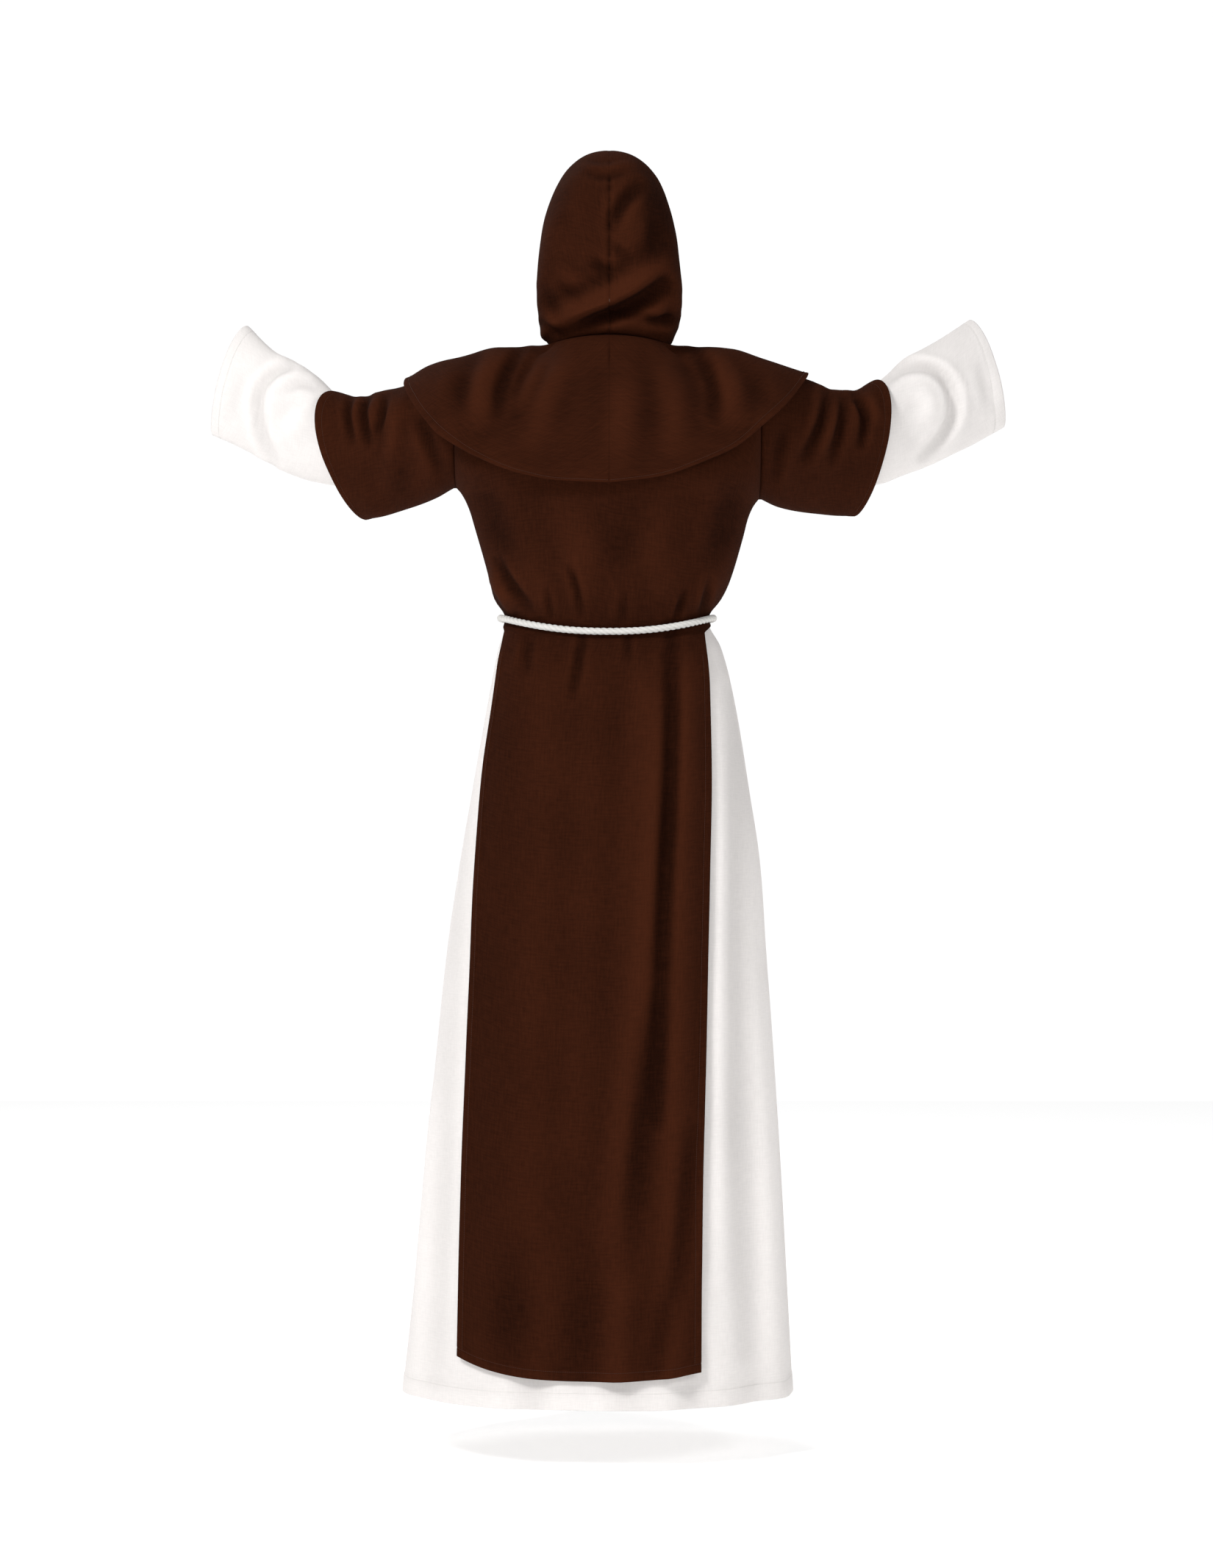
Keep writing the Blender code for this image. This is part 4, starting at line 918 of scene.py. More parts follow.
def tunic_panel(face, columns):
    """Rings over the robe's form from the panel's hem to the yoke, with folds and hems. The
    folds flatten at the side seams, so that front and back meet there."""
    top = ARMPIT - TUNIC_OFF - BODY_STEP
    count = int((top - SLIT_ZONE[1]) / TUNIC_STEP)
    rows = np.concatenate((rows_up(PANEL_HEM, SLIT_ZONE[0], PANEL_HEM_WIDTH, TUNIC_STEP),
                           np.arange(SLIT_ZONE[0] + SLIT_STEP, SLIT_ZONE[1], SLIT_STEP),
                           np.linspace(SLIT_ZONE[1], top, count)))[:, None]
    edge = edge_steps(PANEL_HEM_WIDTH) / PANEL_CLOTH_EDGE
    shares = np.concatenate((edge, np.linspace(edge[-1], 1 - edge[-1], columns)[1:-1],
                             1 - edge[::-1]))
    out = tunic_out(rows)
    edges = BACK_PANEL if face < 0 else FRONT_PANEL
    angle = panel_angles(edges, rows, out, shares)
    below = body_below(face, angle, rows, out)
    even = (shares[None, :] - 0.5) * math.pi
    seam_side = 1 - ease((HALF - np.abs(even)) / SEAM_FLAT)
    sewn = 1 - seam_side * (1 - ease((SLIT_TOP - rows) / SLIT_START))
    ridges = tunic_ridges(face, below[..., 0], rows) * sewn
    below[..., 1] += face * ridges
    aside = 2 * shares[None, :] - 1
    lift = np.where(aside < 0, *PANEL_LIFT[face]) * aside ** 2
    lift = lift - PANEL_HEM_SAG * np.cos(angle) ** 2
    below[..., 2] += lift * ease(1 - (rows - PANEL_HEM) / SAG_HEIGHT)
    turn = np.linspace(math.pi, 0, YOKE_ROWS)[:, None]
    above = yoke(face, tunic_out(yoke(face, 0.0, even, turn)[..., 2]), even, turn)
    grid = np.concatenate((below, above))
    grid = soften(grid, yoke_join(len(rows), len(turn), HALF - np.abs(even)), JOIN_PASSES, 0)
    x, z = grid[..., 0], grid[..., 2]
    near_side = np.minimum(shares, 1 - shares)[None, :]
    slit = ease((SLIT_TOP - SLIT_HEM - z) / SLIT_HEM)
    seamed = 1 - slit
    amount = creases(x, z, TUNIC_BACK_CREASES if face < 0 else TUNIC_FRONT_CREASES, TORSO_DEPTH)
    amount += TUNIC_RIPPLE * ripple(x, z, 0.12, 11 + face) * ease((-0.03 - z) / 0.05)
    amount *= 1 - seamed * (1 - ease(near_side / SEAM_SHARE))
    distance = np.concatenate((rows[:, 0] - PANEL_HEM, np.ones(len(turn))))[:, None]
    amount += hem_relief(distance, PANEL_HEM_WIDTH)
    amount += hem_relief(from_edges(grid), PANEL_HEM_WIDTH) * slit * (distance > PANEL_HEM_WIDTH)
    # The panel's long folds and pleats join the relief at half strength only for the painted shade and
    # light that the finish draws from it.
    ridges = np.concatenate((ridges - RIDGE_MEAN, 0 * above[..., 0]))
    return push(grid, amount, np.stack((0 * x, 0 * x, z), axis=-1)), amount + ridges / 2


for face, node, columns in ((-1, "tunic_back", 112), (1, "tunic_front", 92)):
    sew(node, tunic_panel(face, columns), (0, 0, -0.6), False, BROWN_CLOTH, BROWN)

# %% [markdown]
# Sleeves are tubes round the raised arms. Each ring leans, and is turned towards the front as the
# arm is; it is wide where the sleeve hangs and narrow along the arm. The white sleeve is bent at
# the elbow, where its cloth folds round in an arc.

# %% Form of the sleeves

# Distance and height of the ring's top, distance and height of its bottom, how far forward it
# is, its half width, its turn towards the front in degrees
ROBE_SLEEVE_RIGHT = (
    (0.252, -0.040, 0.246, -0.200, 0.016, 0.066, 12.0),
    (0.290, -0.052, 0.285, -0.192, 0.030, 0.054, 22.0),
    (0.330, -0.063, 0.325, -0.187, 0.050, 0.046, 28.0),
    (0.380, -0.044, 0.380, -0.187, 0.075, 0.042, 30.0),
    (0.4326, -0.001, 0.426, -0.1715, 0.101, 0.040, 30.0),
    (0.4716, 0.0225, 0.4784, -0.1490, 0.122, 0.038, 30.0),
    (0.500, 0.041, 0.5250, -0.1260, 0.142, 0.036, 30.0),
    (0.527, 0.060, 0.5750, -0.0970, 0.165, 0.034, 30.0),
)
ROBE_SLEEVE_LEFT = (
    (0.256, -0.040, 0.250, -0.190, 0.016, 0.066, 12.0),
    (0.292, -0.058, 0.288, -0.190, 0.030, 0.054, 22.0),
    (0.335, -0.071, 0.330, -0.189, 0.050, 0.046, 28.0),
    (0.385, -0.064, 0.382, -0.189, 0.075, 0.042, 30.0),
    (0.4265, -0.026, 0.424, -0.1820, 0.098, 0.040, 30.0),
    (0.460, -0.004, 0.462, -0.1690, 0.118, 0.038, 30.0),
    (0.4861, 0.0102, 0.5189, -0.1375, 0.138, 0.036, 30.0),
    (0.5298, 0.0518, 0.578, -0.1080, 0.165, 0.034, 30.0),
)
TUNIC_SLEEVE_RIGHT = (
    (0.250, -0.032, 0.242, -0.224, 0.014, 0.080, 12.0),
    (0.284, -0.043, 0.270, -0.229, 0.028, 0.074, 22.0),
    (0.316, -0.0545, 0.298, -0.2315, 0.044, 0.068, 28.0),
    (0.348, -0.0538, 0.326, -0.233, 0.060, 0.064, 30.0),
    (0.3850, -0.036, 0.353, -0.232, 0.078, 0.062, 30.0),
)
TUNIC_SLEEVE_LEFT = (
    (0.252, -0.031, 0.248, -0.2105, 0.014, 0.080, 12.0),
    (0.288, -0.050, 0.280, -0.2225, 0.028, 0.074, 22.0),
    (0.3208, -0.0561, 0.304, -0.2291, 0.044, 0.068, 28.0),
    (0.354, -0.0625, 0.330, -0.235, 0.060, 0.066, 31.0),
    (0.398, -0.0524, 0.3515, -0.237, 0.080, 0.070, 36.0),
)
SLEEVES = {
    ("robe", 1): ROBE_SLEEVE_RIGHT, ("robe", -1): ROBE_SLEEVE_LEFT,
    ("tunic", 1): TUNIC_SLEEVE_RIGHT, ("tunic", -1): TUNIC_SLEEVE_LEFT,
}
SEAM_BAND = 0.004
SLEEVE_DEPTH = 1.5
SLEEVE_TAPER = 0.30
TAPER_START = 0.10
TAPER_POWER = 1.5
CREASE_START = 0.030
ROBE_CUFF_HEM = 0.011
BELL_HEM = 0.012
SLEEVE_HEM_RISE = 0.0006
SLEEVE_RIPPLE = 0.0006


def armhole_row(side, out):
    """The sleeve's first ring lies on the armhole, so that sleeve and body share one opening."""
    armhole = (ARMHOLE_RIGHT if side > 0 else ARMHOLE_LEFT) + out
    top = float(shoulder_height(-1, np.array(armhole), out))
    reach = armhole + SEAM_BAND
    return (reach, top, reach, ARMPIT + ARMPIT_TILT * side - out, 0.0, ARMHOLE_DEPTH + out, 0.0)


def sleeve_ring(side, rows, reach, turn, out=0.0):
    """Rings of a sleeve: turn 0 is the top, plus the back, minus the front."""
    rows = np.asarray(rows)
    top_z = curve(rows, 1, reach) + out
    bottom_x = curve(rows, 2, reach)
    bottom_z = curve(rows, 3, reach) - out
    yaw = np.radians(curve(rows, 6, reach))
    share = ease((reach - rows[0][0]) / TAPER_START)
    narrow = 1 - SLEEVE_TAPER * share * ((1 - np.cos(turn)) / 2) ** TAPER_POWER
    wide = (curve(rows, 5, reach) + out) * narrow * np.sin(turn)
    lean = (reach - bottom_x) / 2 * np.cos(turn)
    x = side * ((reach + bottom_x) / 2 + lean + wide * np.sin(yaw))
    y = curve(rows, 4, reach) - wide * np.cos(yaw)
    z = (top_z + bottom_z) / 2 + (top_z - bottom_z) / 2 * np.cos(turn)
    return np.stack(np.broadcast_arrays(x, y, z), axis=-1)


# %% [markdown]
# The creases of each sleeve are placed as seen from behind, and others as seen from the front.
# The white sleeves get their elbow arcs; the short bell sleeves fall from the cape's edge in
# folds that spread from the dip over the arm.

# %% Sleeves

# Side of the cloth (-1 back, 1 front), path across and down as seen from behind, width, height
SLEEVE_CREASES = {
    ("robe", -1): (
        (-1, ((-0.462, -0.012), (-0.488, -0.024), (-0.508, -0.052), (-0.507, -0.100),
              (-0.488, -0.148)), 0.0085, -0.0075),
        (-1, ((-0.420, -0.046), (-0.446, -0.040), (-0.474, -0.050)), 0.0080, -0.0030),
        (-1, ((-0.440, -0.080), (-0.470, -0.110)), 0.016, 0.0040),
        (-1, ((-0.540, -0.020), (-0.552, -0.080)), 0.010, -0.0020),
        (1, ((-0.456, -0.020), (-0.486, -0.050), (-0.488, -0.110)), 0.009, -0.0060),
        (1, ((-0.420, -0.070), (-0.436, -0.120)), 0.010, -0.0035),
    ),
    ("robe", 1): (
        (-1, ((0.396, -0.040), (0.420, -0.021), (0.448, -0.016), (0.476, -0.024), (0.495, -0.048),
              (0.498, -0.082), (0.484, -0.112), (0.452, -0.146)), 0.0085, -0.0075),
        (-1, ((0.442, -0.052), (0.462, -0.070), (0.452, -0.100)), 0.016, 0.0040),
        (-1, ((0.540, -0.010), (0.556, -0.070)), 0.010, -0.0020),
        (1, ((0.432, -0.020), (0.474, -0.040), (0.482, -0.100)), 0.009, -0.0060),
        (1, ((0.404, -0.070), (0.424, -0.120)), 0.010, -0.0035),
    ),
    ("tunic", -1): (
        (-1, ((-0.344, -0.066), (-0.350, -0.090), (-0.342, -0.134)), 0.0065, -0.0050),
        (-1, ((-0.370, -0.064), (-0.373, -0.092), (-0.366, -0.130)), 0.0060, -0.0036),
        (-1, ((-0.318, -0.068), (-0.322, -0.094), (-0.330, -0.122)), 0.0060, -0.0036),
        (-1, ((-0.298, -0.080), (-0.304, -0.112), (-0.310, -0.150)), 0.0100, 0.0026),
        (-1, ((-0.266, -0.106), (-0.250, -0.142), (-0.232, -0.186)), 0.0095, -0.0042),
        (-1, ((-0.290, -0.158), (-0.298, -0.212)), 0.0150, -0.0016),
        (1, ((-0.334, -0.074), (-0.322, -0.170)), 0.010, -0.0045),
        (1, ((-0.290, -0.090), (-0.286, -0.190)), 0.012, -0.0045),
    ),
    ("tunic", 1): (
        (-1, ((0.310, -0.066), (0.300, -0.108), (0.276, -0.158)), 0.0080, -0.0050),
        (-1, ((0.334, -0.070), (0.328, -0.112), (0.314, -0.158)), 0.0080, -0.0040),
        (-1, ((0.350, -0.064), (0.364, -0.096), (0.358, -0.136)), 0.0070, -0.0048),
        (-1, ((0.372, -0.062), (0.384, -0.100)), 0.0080, 0.0030),
        (-1, ((0.244, -0.118), (0.236, -0.150), (0.226, -0.196)), 0.0100, -0.0038),
        (1, ((0.330, -0.074), (0.318, -0.170)), 0.010, -0.0045),
        (1, ((0.288, -0.090), (0.284, -0.190)), 0.012, -0.0045),
    ),
}


def sleeve_grid(kind, side, step, around):
    """Rings from the armhole to the cuff, pushed out by the creases and the cuff's hem."""
    out = 0.0 if kind == "robe" else float(tunic_out(ARMPIT))
    rows = (armhole_row(side, out),) + SLEEVES[kind, side]
    start, end = rows[0][0], rows[-1][0]
    width = ROBE_CUFF_HEM if kind == "robe" else BELL_HEM
    reach = start + end - rows_up(start, end, width, step)[::-1]
    turn = (np.arange(around) / around * 2 * math.pi + math.pi) % (2 * math.pi) - math.pi
    grid = sleeve_ring(side, rows, reach[:, None], turn[None, :])
    amount = np.zeros(grid.shape[:2])
    back = ease(0.5 + np.sin(turn) / 0.5)[None, :]
    for facing, *one in SLEEVE_CREASES[kind, side]:
        on_side = back if facing < 0 else 1 - back
        amount += creases(grid[..., 0], grid[..., 2], (one,), SLEEVE_DEPTH) * on_side
    round_cuff = grid[..., 0] + turn[None, :] * 0.05
    amount += SLEEVE_RIPPLE * ripple(round_cuff, grid[..., 2], 0.07, 21 + side)
    amount *= ease((reach - start) / CREASE_START)[:, None]
    amount += hem_relief((end - reach)[:, None], width, SLEEVE_HEM_RISE)
    grid = push(grid, amount, grid.mean(axis=1, keepdims=True), closed=True)
    first = grid[0] - np.array((side * SEAM_BAND, 0, 0))
    return np.concatenate((first[None], grid)), np.concatenate((amount[:1], amount))


for side, end in ((-1, "left"), (1, "right")):
    for kind, step, thickness, finish, slot, lies_on in (
            ("robe", 0.0045, ROBE_CLOTH, WHITE, "robe_white", ["robe_back_cloth"]),
            ("tunic", 0.0038, BROWN_CLOTH, BROWN, "habit_brown", ["tunic_back_cloth"])):
        made = sleeve_grid(kind, side, step, 120)
        sew(kind + "_sleeve_" + end, made, made[0].mean(axis=1, keepdims=True), True, thickness,
            finish)

# %% [markdown]
# The shoulder cape lies on the tunic and on the tops of the bell sleeves. From the neckline it
# spans to the shoulders as a smooth curve, a cubic whose slope is level at the neck, and from
# there it lies on the form down to its round hem. Two halves meet in a seam down the back.

# %% Shoulder cape

# Share of the way from the back middle over the tip to the front middle, distance from the
# middle, degrees down from the shoulder line
CAPE_HEM_LEFT = np.array((
    (0.000, 0.0000, 154.0),
    (0.080, 0.0680, 153.0),
    (0.145, 0.1250, 144.0),
    (0.210, 0.1800, 127.5),
    (0.270, 0.2245, 109.0),
    (0.335, 0.2430, 87.5),
    (0.400, 0.2620, 60.0),
    (0.450, 0.2770, 30.0),
    (0.500, 0.2835, 0.0),
    (0.550, 0.2770, -30.0),
    (0.600, 0.2620, -54.0),
    (0.665, 0.2430, -76.0),
    (0.730, 0.2240, -95.0),
    (0.790, 0.1800, -116.0),
    (0.855, 0.1250, -133.0),
    (0.920, 0.0680, -147.0),
    (1.000, 0.0000, -155.0),
))
CAPE_HEM_RIGHT = np.array((
    (0.000, 0.0000, 154.0),
    (0.080, 0.0680, 143.5),
    (0.145, 0.1250, 127.5),
    (0.210, 0.1800, 109.5),
    (0.270, 0.2220, 85.0),
    (0.335, 0.2410, 65.5),
    (0.400, 0.2600, 41.0),
    (0.450, 0.2730, 20.0),
    (0.500, 0.2800, 0.0),
    (0.550, 0.2730, -22.0),
    (0.600, 0.2610, -45.0),
    (0.665, 0.2420, -70.0),
    (0.730, 0.2230, -92.0),
    (0.790, 0.1800, -114.0),
    (0.855, 0.1250, -131.0),
    (0.920, 0.0680, -146.0),
    (1.000, 0.0000, -155.0),
))
CAPE_HEM = {-1: CAPE_HEM_LEFT, 1: CAPE_HEM_RIGHT}
CAPE_NECK_OUT = 0.0080
CAPE_HEM_OUT = 0.0130
CAPE_BRIDGE = 0.055
CAPE_SHOULDER = 0.35
CAPE_SHOULDER_REACH = 0.045
CAPE_SHOULDER_TURN = math.radians(60)
CAPE_LIFT = 1.6
CAPE_SOFT = 0.022
CAPE_DEPTH = 1.5
CAPE_LENGTH = 0.215
CAPE_MIDDLE = (0.0, 0.0, -0.16)
CAPE_RIPPLE = 0.0008
CAPE_HEM_RISE = 0.0010
CAPE_SEAM_DENT = 0.0012
CAPE_SEAM_WIDTH = 0.0020
CAPE_SEAM_AT = 0.045
CAPE_SEAM_FADE = 0.020
SLOPE_STEP = 0.01

# Side of the cloth, path across and down as seen from behind, width, height
CAPE_CREASES = (
    (-1, ((-0.160, -0.010), (-0.176, -0.060), (-0.180, -0.110)), 0.015, 0.0040),
    (-1, ((-0.124, -0.004), (-0.138, -0.028), (-0.150, -0.062), (-0.156, -0.104)), 0.0085, -0.0026),
    (-1, ((-0.096, -0.024), (-0.112, -0.058), (-0.124, -0.090)), 0.0090, 0.0028),
    (-1, ((-0.070, -0.020), (-0.090, -0.080), (-0.104, -0.140)), 0.018, 0.0022),
    (-1, ((0.020, -0.050), (0.012, -0.170)), 0.020, 0.0020),
    (-1, ((0.074, -0.014), (0.088, -0.080), (0.090, -0.150)), 0.018, 0.0026),
    (-1, ((0.122, -0.006), (0.136, -0.032), (0.146, -0.066), (0.148, -0.108)), 0.0090, -0.0026),
    (-1, ((0.148, -0.014), (0.166, -0.060), (0.170, -0.110)), 0.015, 0.0036),
    (-1, ((-0.205, -0.040), (-0.214, -0.090)), 0.014, -0.0014),
    (-1, ((0.200, -0.040), (0.210, -0.090)), 0.014, -0.0016),
    (1, ((-0.150, -0.012), (-0.166, -0.100)), 0.015, 0.0036),
    (1, ((0.152, -0.012), (0.164, -0.105)), 0.015, 0.0036),
    (1, ((-0.098, -0.020), (-0.112, -0.080)), 0.010, -0.0034),
    (1, ((0.104, -0.020), (0.110, -0.085)), 0.010, -0.0034),
    (1, ((-0.040, -0.060), (-0.052, -0.170)), 0.016, 0.0026),
    (1, ((0.052, -0.055), (0.060, -0.165)), 0.016, 0.0026),
)


def cape_surface(x, turn, out):
    """The form that the cape lies on: yoke in the middle, sleeves outside the armholes."""
    side = np.where(x < 0, -1.0, 1.0)
    half = np.where(x < 0, ARMHOLE_LEFT, ARMHOLE_RIGHT) + out
    across = np.clip(x / half, -1, 1)
    back = body_above(-1, across, np.abs(turn), out, CAPE_BRIDGE)
    front = body_above(1, across, np.abs(turn), out, CAPE_BRIDGE)
    point = np.where(turn[..., None] >= 0, back, front)
    sleeve_out = float(tunic_out(ARMPIT))
    for number, rows in ((1, TUNIC_SLEEVE_RIGHT), (-1, TUNIC_SLEEVE_LEFT)):
        table = (armhole_row(number, sleeve_out),) + rows
        ring = sleeve_ring(number, table, np.abs(x), turn, out - sleeve_out)
        wide = np.abs(x) / (half + CAPE_BRIDGE)
        deep = np.clip(1 - wide ** ROUNDNESS, 0, 1) ** (1 / ROUNDNESS)
        low = ((1 - np.cos(turn)) / 2) ** YOKE_DROP
        fuller = curve(ROBE_RINGS, BACK, ARMPIT) * deep * low
        ring[..., 1] += np.where(turn >= 0, -1.0, 1.0) * fuller
        beyond = (np.abs(x) > half) & (side == number)
        point = np.where(beyond[..., None], ring, point)
    return point


def neck_ring(angle, out):
    """Neckline of the cape: angle 90 degrees is the back middle, minus is the front."""
    x = (NECK_HALF_WIDTH + out) * np.cos(angle)
    back = angle >= 0
    y = -(np.where(back, NECK_BACK, NECK_FRONT) + out) * np.sin(angle)
    z = np.where(back, shoulder_height(-1, x, out), shoulder_height(1, x, out))
    return np.stack((x, y, z), axis=-1)


def cape_lying(side, shares, down):
    """Cape below the shoulders: straight lines, in distance and turn, to the hem."""
    round_neck = HALF * (1 - 2 * shares)
    start_x = (NECK_HALF_WIDTH + CAPE_SHOULDER_REACH) * np.cos(round_neck)
    start_turn = CAPE_SHOULDER_TURN * np.sin(round_neck)
    lower = (down - CAPE_SHOULDER) / (1 - CAPE_SHOULDER)
    hem = CAPE_HEM[side]
    x = start_x + (curve(hem, 1, shares) - start_x) * lower
    turn = start_turn + (np.radians(curve(hem, 2, shares)) - start_turn) * lower
    turn = np.where(shares < 0.5, np.abs(turn), -np.abs(turn))
    out = CAPE_NECK_OUT + (CAPE_HEM_OUT - CAPE_NECK_OUT) * ease(down * CAPE_LIFT)
    return cape_surface(side * x, turn, out + 0 * x) * np.array((side, 1, 1))


def cape_half(side, columns, step):
    """Half of the cape, from the back middle to the front middle, with folds, seam and hem."""
    shares = np.linspace(0, 1, columns)
    narrow = SEAM_BAND / 0.4
    shares = np.concatenate(((0, narrow / 3, narrow), shares[2:-2], (1 - narrow, 1 - narrow / 3, 1)))
    shares = shares[None, :]
    down = 1 - rows_up(0.0, CAPE_LENGTH, CAPE_HEM_WIDTH, step)[::-1, None] / CAPE_LENGTH
    down = down - down[0]
    neck = neck_ring(HALF * (1 - 2 * shares[0]), CAPE_NECK_OUT)
    shoulder = cape_lying(side, shares, CAPE_SHOULDER)[0]
    past = cape_lying(side, shares, CAPE_SHOULDER * (1 + SLOPE_STEP))[0]
    slope = (past - shoulder) / SLOPE_STEP
    level = (shoulder - neck) * np.array((1, 1, 0))
    span = np.linalg.norm(shoulder - neck, axis=-1, keepdims=True)
    level = level / np.linalg.norm(level, axis=-1, keepdims=True) * span
    t = (down / CAPE_SHOULDER)[..., None]
    upper = (neck * (1 + 2 * t) * (1 - t) ** 2 + level * t * (1 - t) ** 2
             + shoulder * t * t * (3 - 2 * t) - slope * t * t * (1 - t))
    lying = cape_lying(side, shares, np.maximum(down, CAPE_SHOULDER))
    grid = np.where(t <= 1, upper, lying) * np.array((side, 1, 1))
    over_armhole = np.exp(-((np.abs(grid[..., 0]) - ARMHOLE_LEFT) / CAPE_SOFT) ** 2)
    for axis in (0, 1):
        grid = soften(grid, over_armhole * ease(4 * down), JOIN_PASSES, axis)
    amount = np.zeros(grid.shape[:2])
    back = ease((0.53 - shares) / 0.06)
    for facing, *one in CAPE_CREASES:
        on_side = back if facing < 0 else 1 - back
        amount += creases(grid[..., 0], grid[..., 2], (one,), CAPE_DEPTH) * on_side
    amount += CAPE_RIPPLE * ripple(grid[..., 0], grid[..., 2] + grid[..., 1], 0.09, 31)
    amount *= ease(down * 3.0)
    length = cloth_map(grid, False)[..., 1]
    amount += hem_relief(length[-1:] - length, CAPE_HEM_WIDTH, CAPE_HEM_RISE)
    middle_edge = from_edges(grid)
    pulled = np.exp(-((length - CAPE_SEAM_AT) / CAPE_SEAM_FADE) ** 2)
    amount -= CAPE_SEAM_DENT * pulled * np.exp(-(middle_edge / CAPE_SEAM_WIDTH) ** 2)
    return push(grid, amount, np.array(CAPE_MIDDLE)), amount


for side, end in ((-1, "left"), (1, "right")):
    sew("cape_" + end, cape_half(side, 190, 0.0026), CAPE_MIDDLE, False, BROWN_CLOTH, BROWN)

# %% [markdown]
# The hood is drawn up from the same neckline. Its two halves fan out from the throat like the
# segments of a shell: each ring is a superellipse whose reach grows towards the crown. The neck
# seam gathers it, and a deep soft fold lies across the nape.

# %% Hood

# Degrees up from the neck, reach, half width
HOOD_RINGS = np.array((
    (9.0, 0.140, 0.0800),
    (15.0, 0.158, 0.0885),
    (22.0, 0.172, 0.0945),
    (32.0, 0.209, 0.1010),
    (41.0, 0.244, 0.1025),
    (51.0, 0.275, 0.1015),
    (62.5, 0.293, 0.0990),
    (74.0, 0.298, 0.0945),
    (86.0, 0.285, 0.0900),
    (98.0, 0.262, 0.0855),
))
HOOD_AXIS_Y = 0.058
HOOD_AXIS_Z = -0.010
HOOD_END_TURN = 129.0
THROAT_TURN = 50.0
HOOD_FULLNESS = 2.25
HOOD_GATHER = 0.16
SEAM_PUCKER = 0.232
FACE_HEM_WIDTH = 0.014
HOOD_LENGTH = 0.47
HOOD_MIDDLE = (0.0, 0.0, 0.11)
HOOD_RIPPLE = 0.0010
GATHER_COUNT = 95.0
GATHER_UNEVEN = 21.0
GATHER_RISE = 0.0009
GATHER_FADE = 0.05
SEAM_DENT = 0.0015
SEAM_DENT_WIDTH = 0.0028
SEAM_LIP = 0.0009
SEAM_LIP_AWAY = 0.007
SEAM_LIP_WIDTH = 0.0035
PUCKER_PACE = 330.0

# Path across and up as seen from behind, width, height
HOOD_CREASES = (
    (((-0.080, 0.006), (-0.056, 0.011), (-0.029, 0.025), (0.003, 0.039), (0.040, 0.057),
      (0.074, 0.080)), 0.0105, -0.0200),
    (((-0.052, 0.006), (-0.012, 0.015), (0.036, 0.018), (0.078, 0.016)), 0.0110, 0.0140),
    # A broad shallow trough on the right of the hood, there mostly for the painted shade that its
    # relief gives to that side.
    (((0.060, 0.095), (0.074, 0.140), (0.070, 0.190), (0.050, 0.230)), 0.0260, -0.0048),
    (((-0.078, 0.032), (-0.052, 0.038), (-0.020, 0.050), (0.012, 0.064), (0.046, 0.086),
      (0.070, 0.110)), 0.0160, 0.0110),
    (((0.092, 0.060), (0.070, 0.046), (0.048, 0.040)), 0.0080, 0.0060),
    (((0.094, 0.036), (0.072, 0.030), (0.050, 0.028)), 0.0060, -0.0060),
    (((-0.092, 0.030), (-0.078, 0.020), (-0.066, 0.018)), 0.0060, -0.0060),
    (((0.004, 0.160), (0.020, 0.190), (0.040, 0.216)), 0.0100, -0.0075),
    (((-0.026, 0.108), (-0.014, 0.100), (0.001, 0.090)), 0.0080, -0.0042),
    (((-0.094, 0.074), (-0.078, 0.050), (-0.058, 0.030)), 0.0085, -0.0030),
    (((-0.070, 0.096), (-0.046, 0.080), (-0.024, 0.074)), 0.0100, 0.0030),
    (((0.001, 0.128), (0.014, 0.122), (0.026, 0.112)), 0.0070, -0.0030),
    (((-0.030, 0.236), (-0.006, 0.228), (0.020, 0.236)), 0.0060, -0.0020),
    (((-0.040, 0.252), (-0.004, 0.243), (0.034, 0.252)), 0.0065, 0.0018),
    (((0.050, 0.100), (0.066, 0.130), (0.070, 0.170)), 0.0120, -0.0026),
    (((-0.060, 0.150), (-0.072, 0.190), (-0.062, 0.226)), 0.0130, -0.0012),
    (((0.086, 0.020), (0.080, 0.044), (0.088, 0.066)), 0.0080, -0.0030),
)


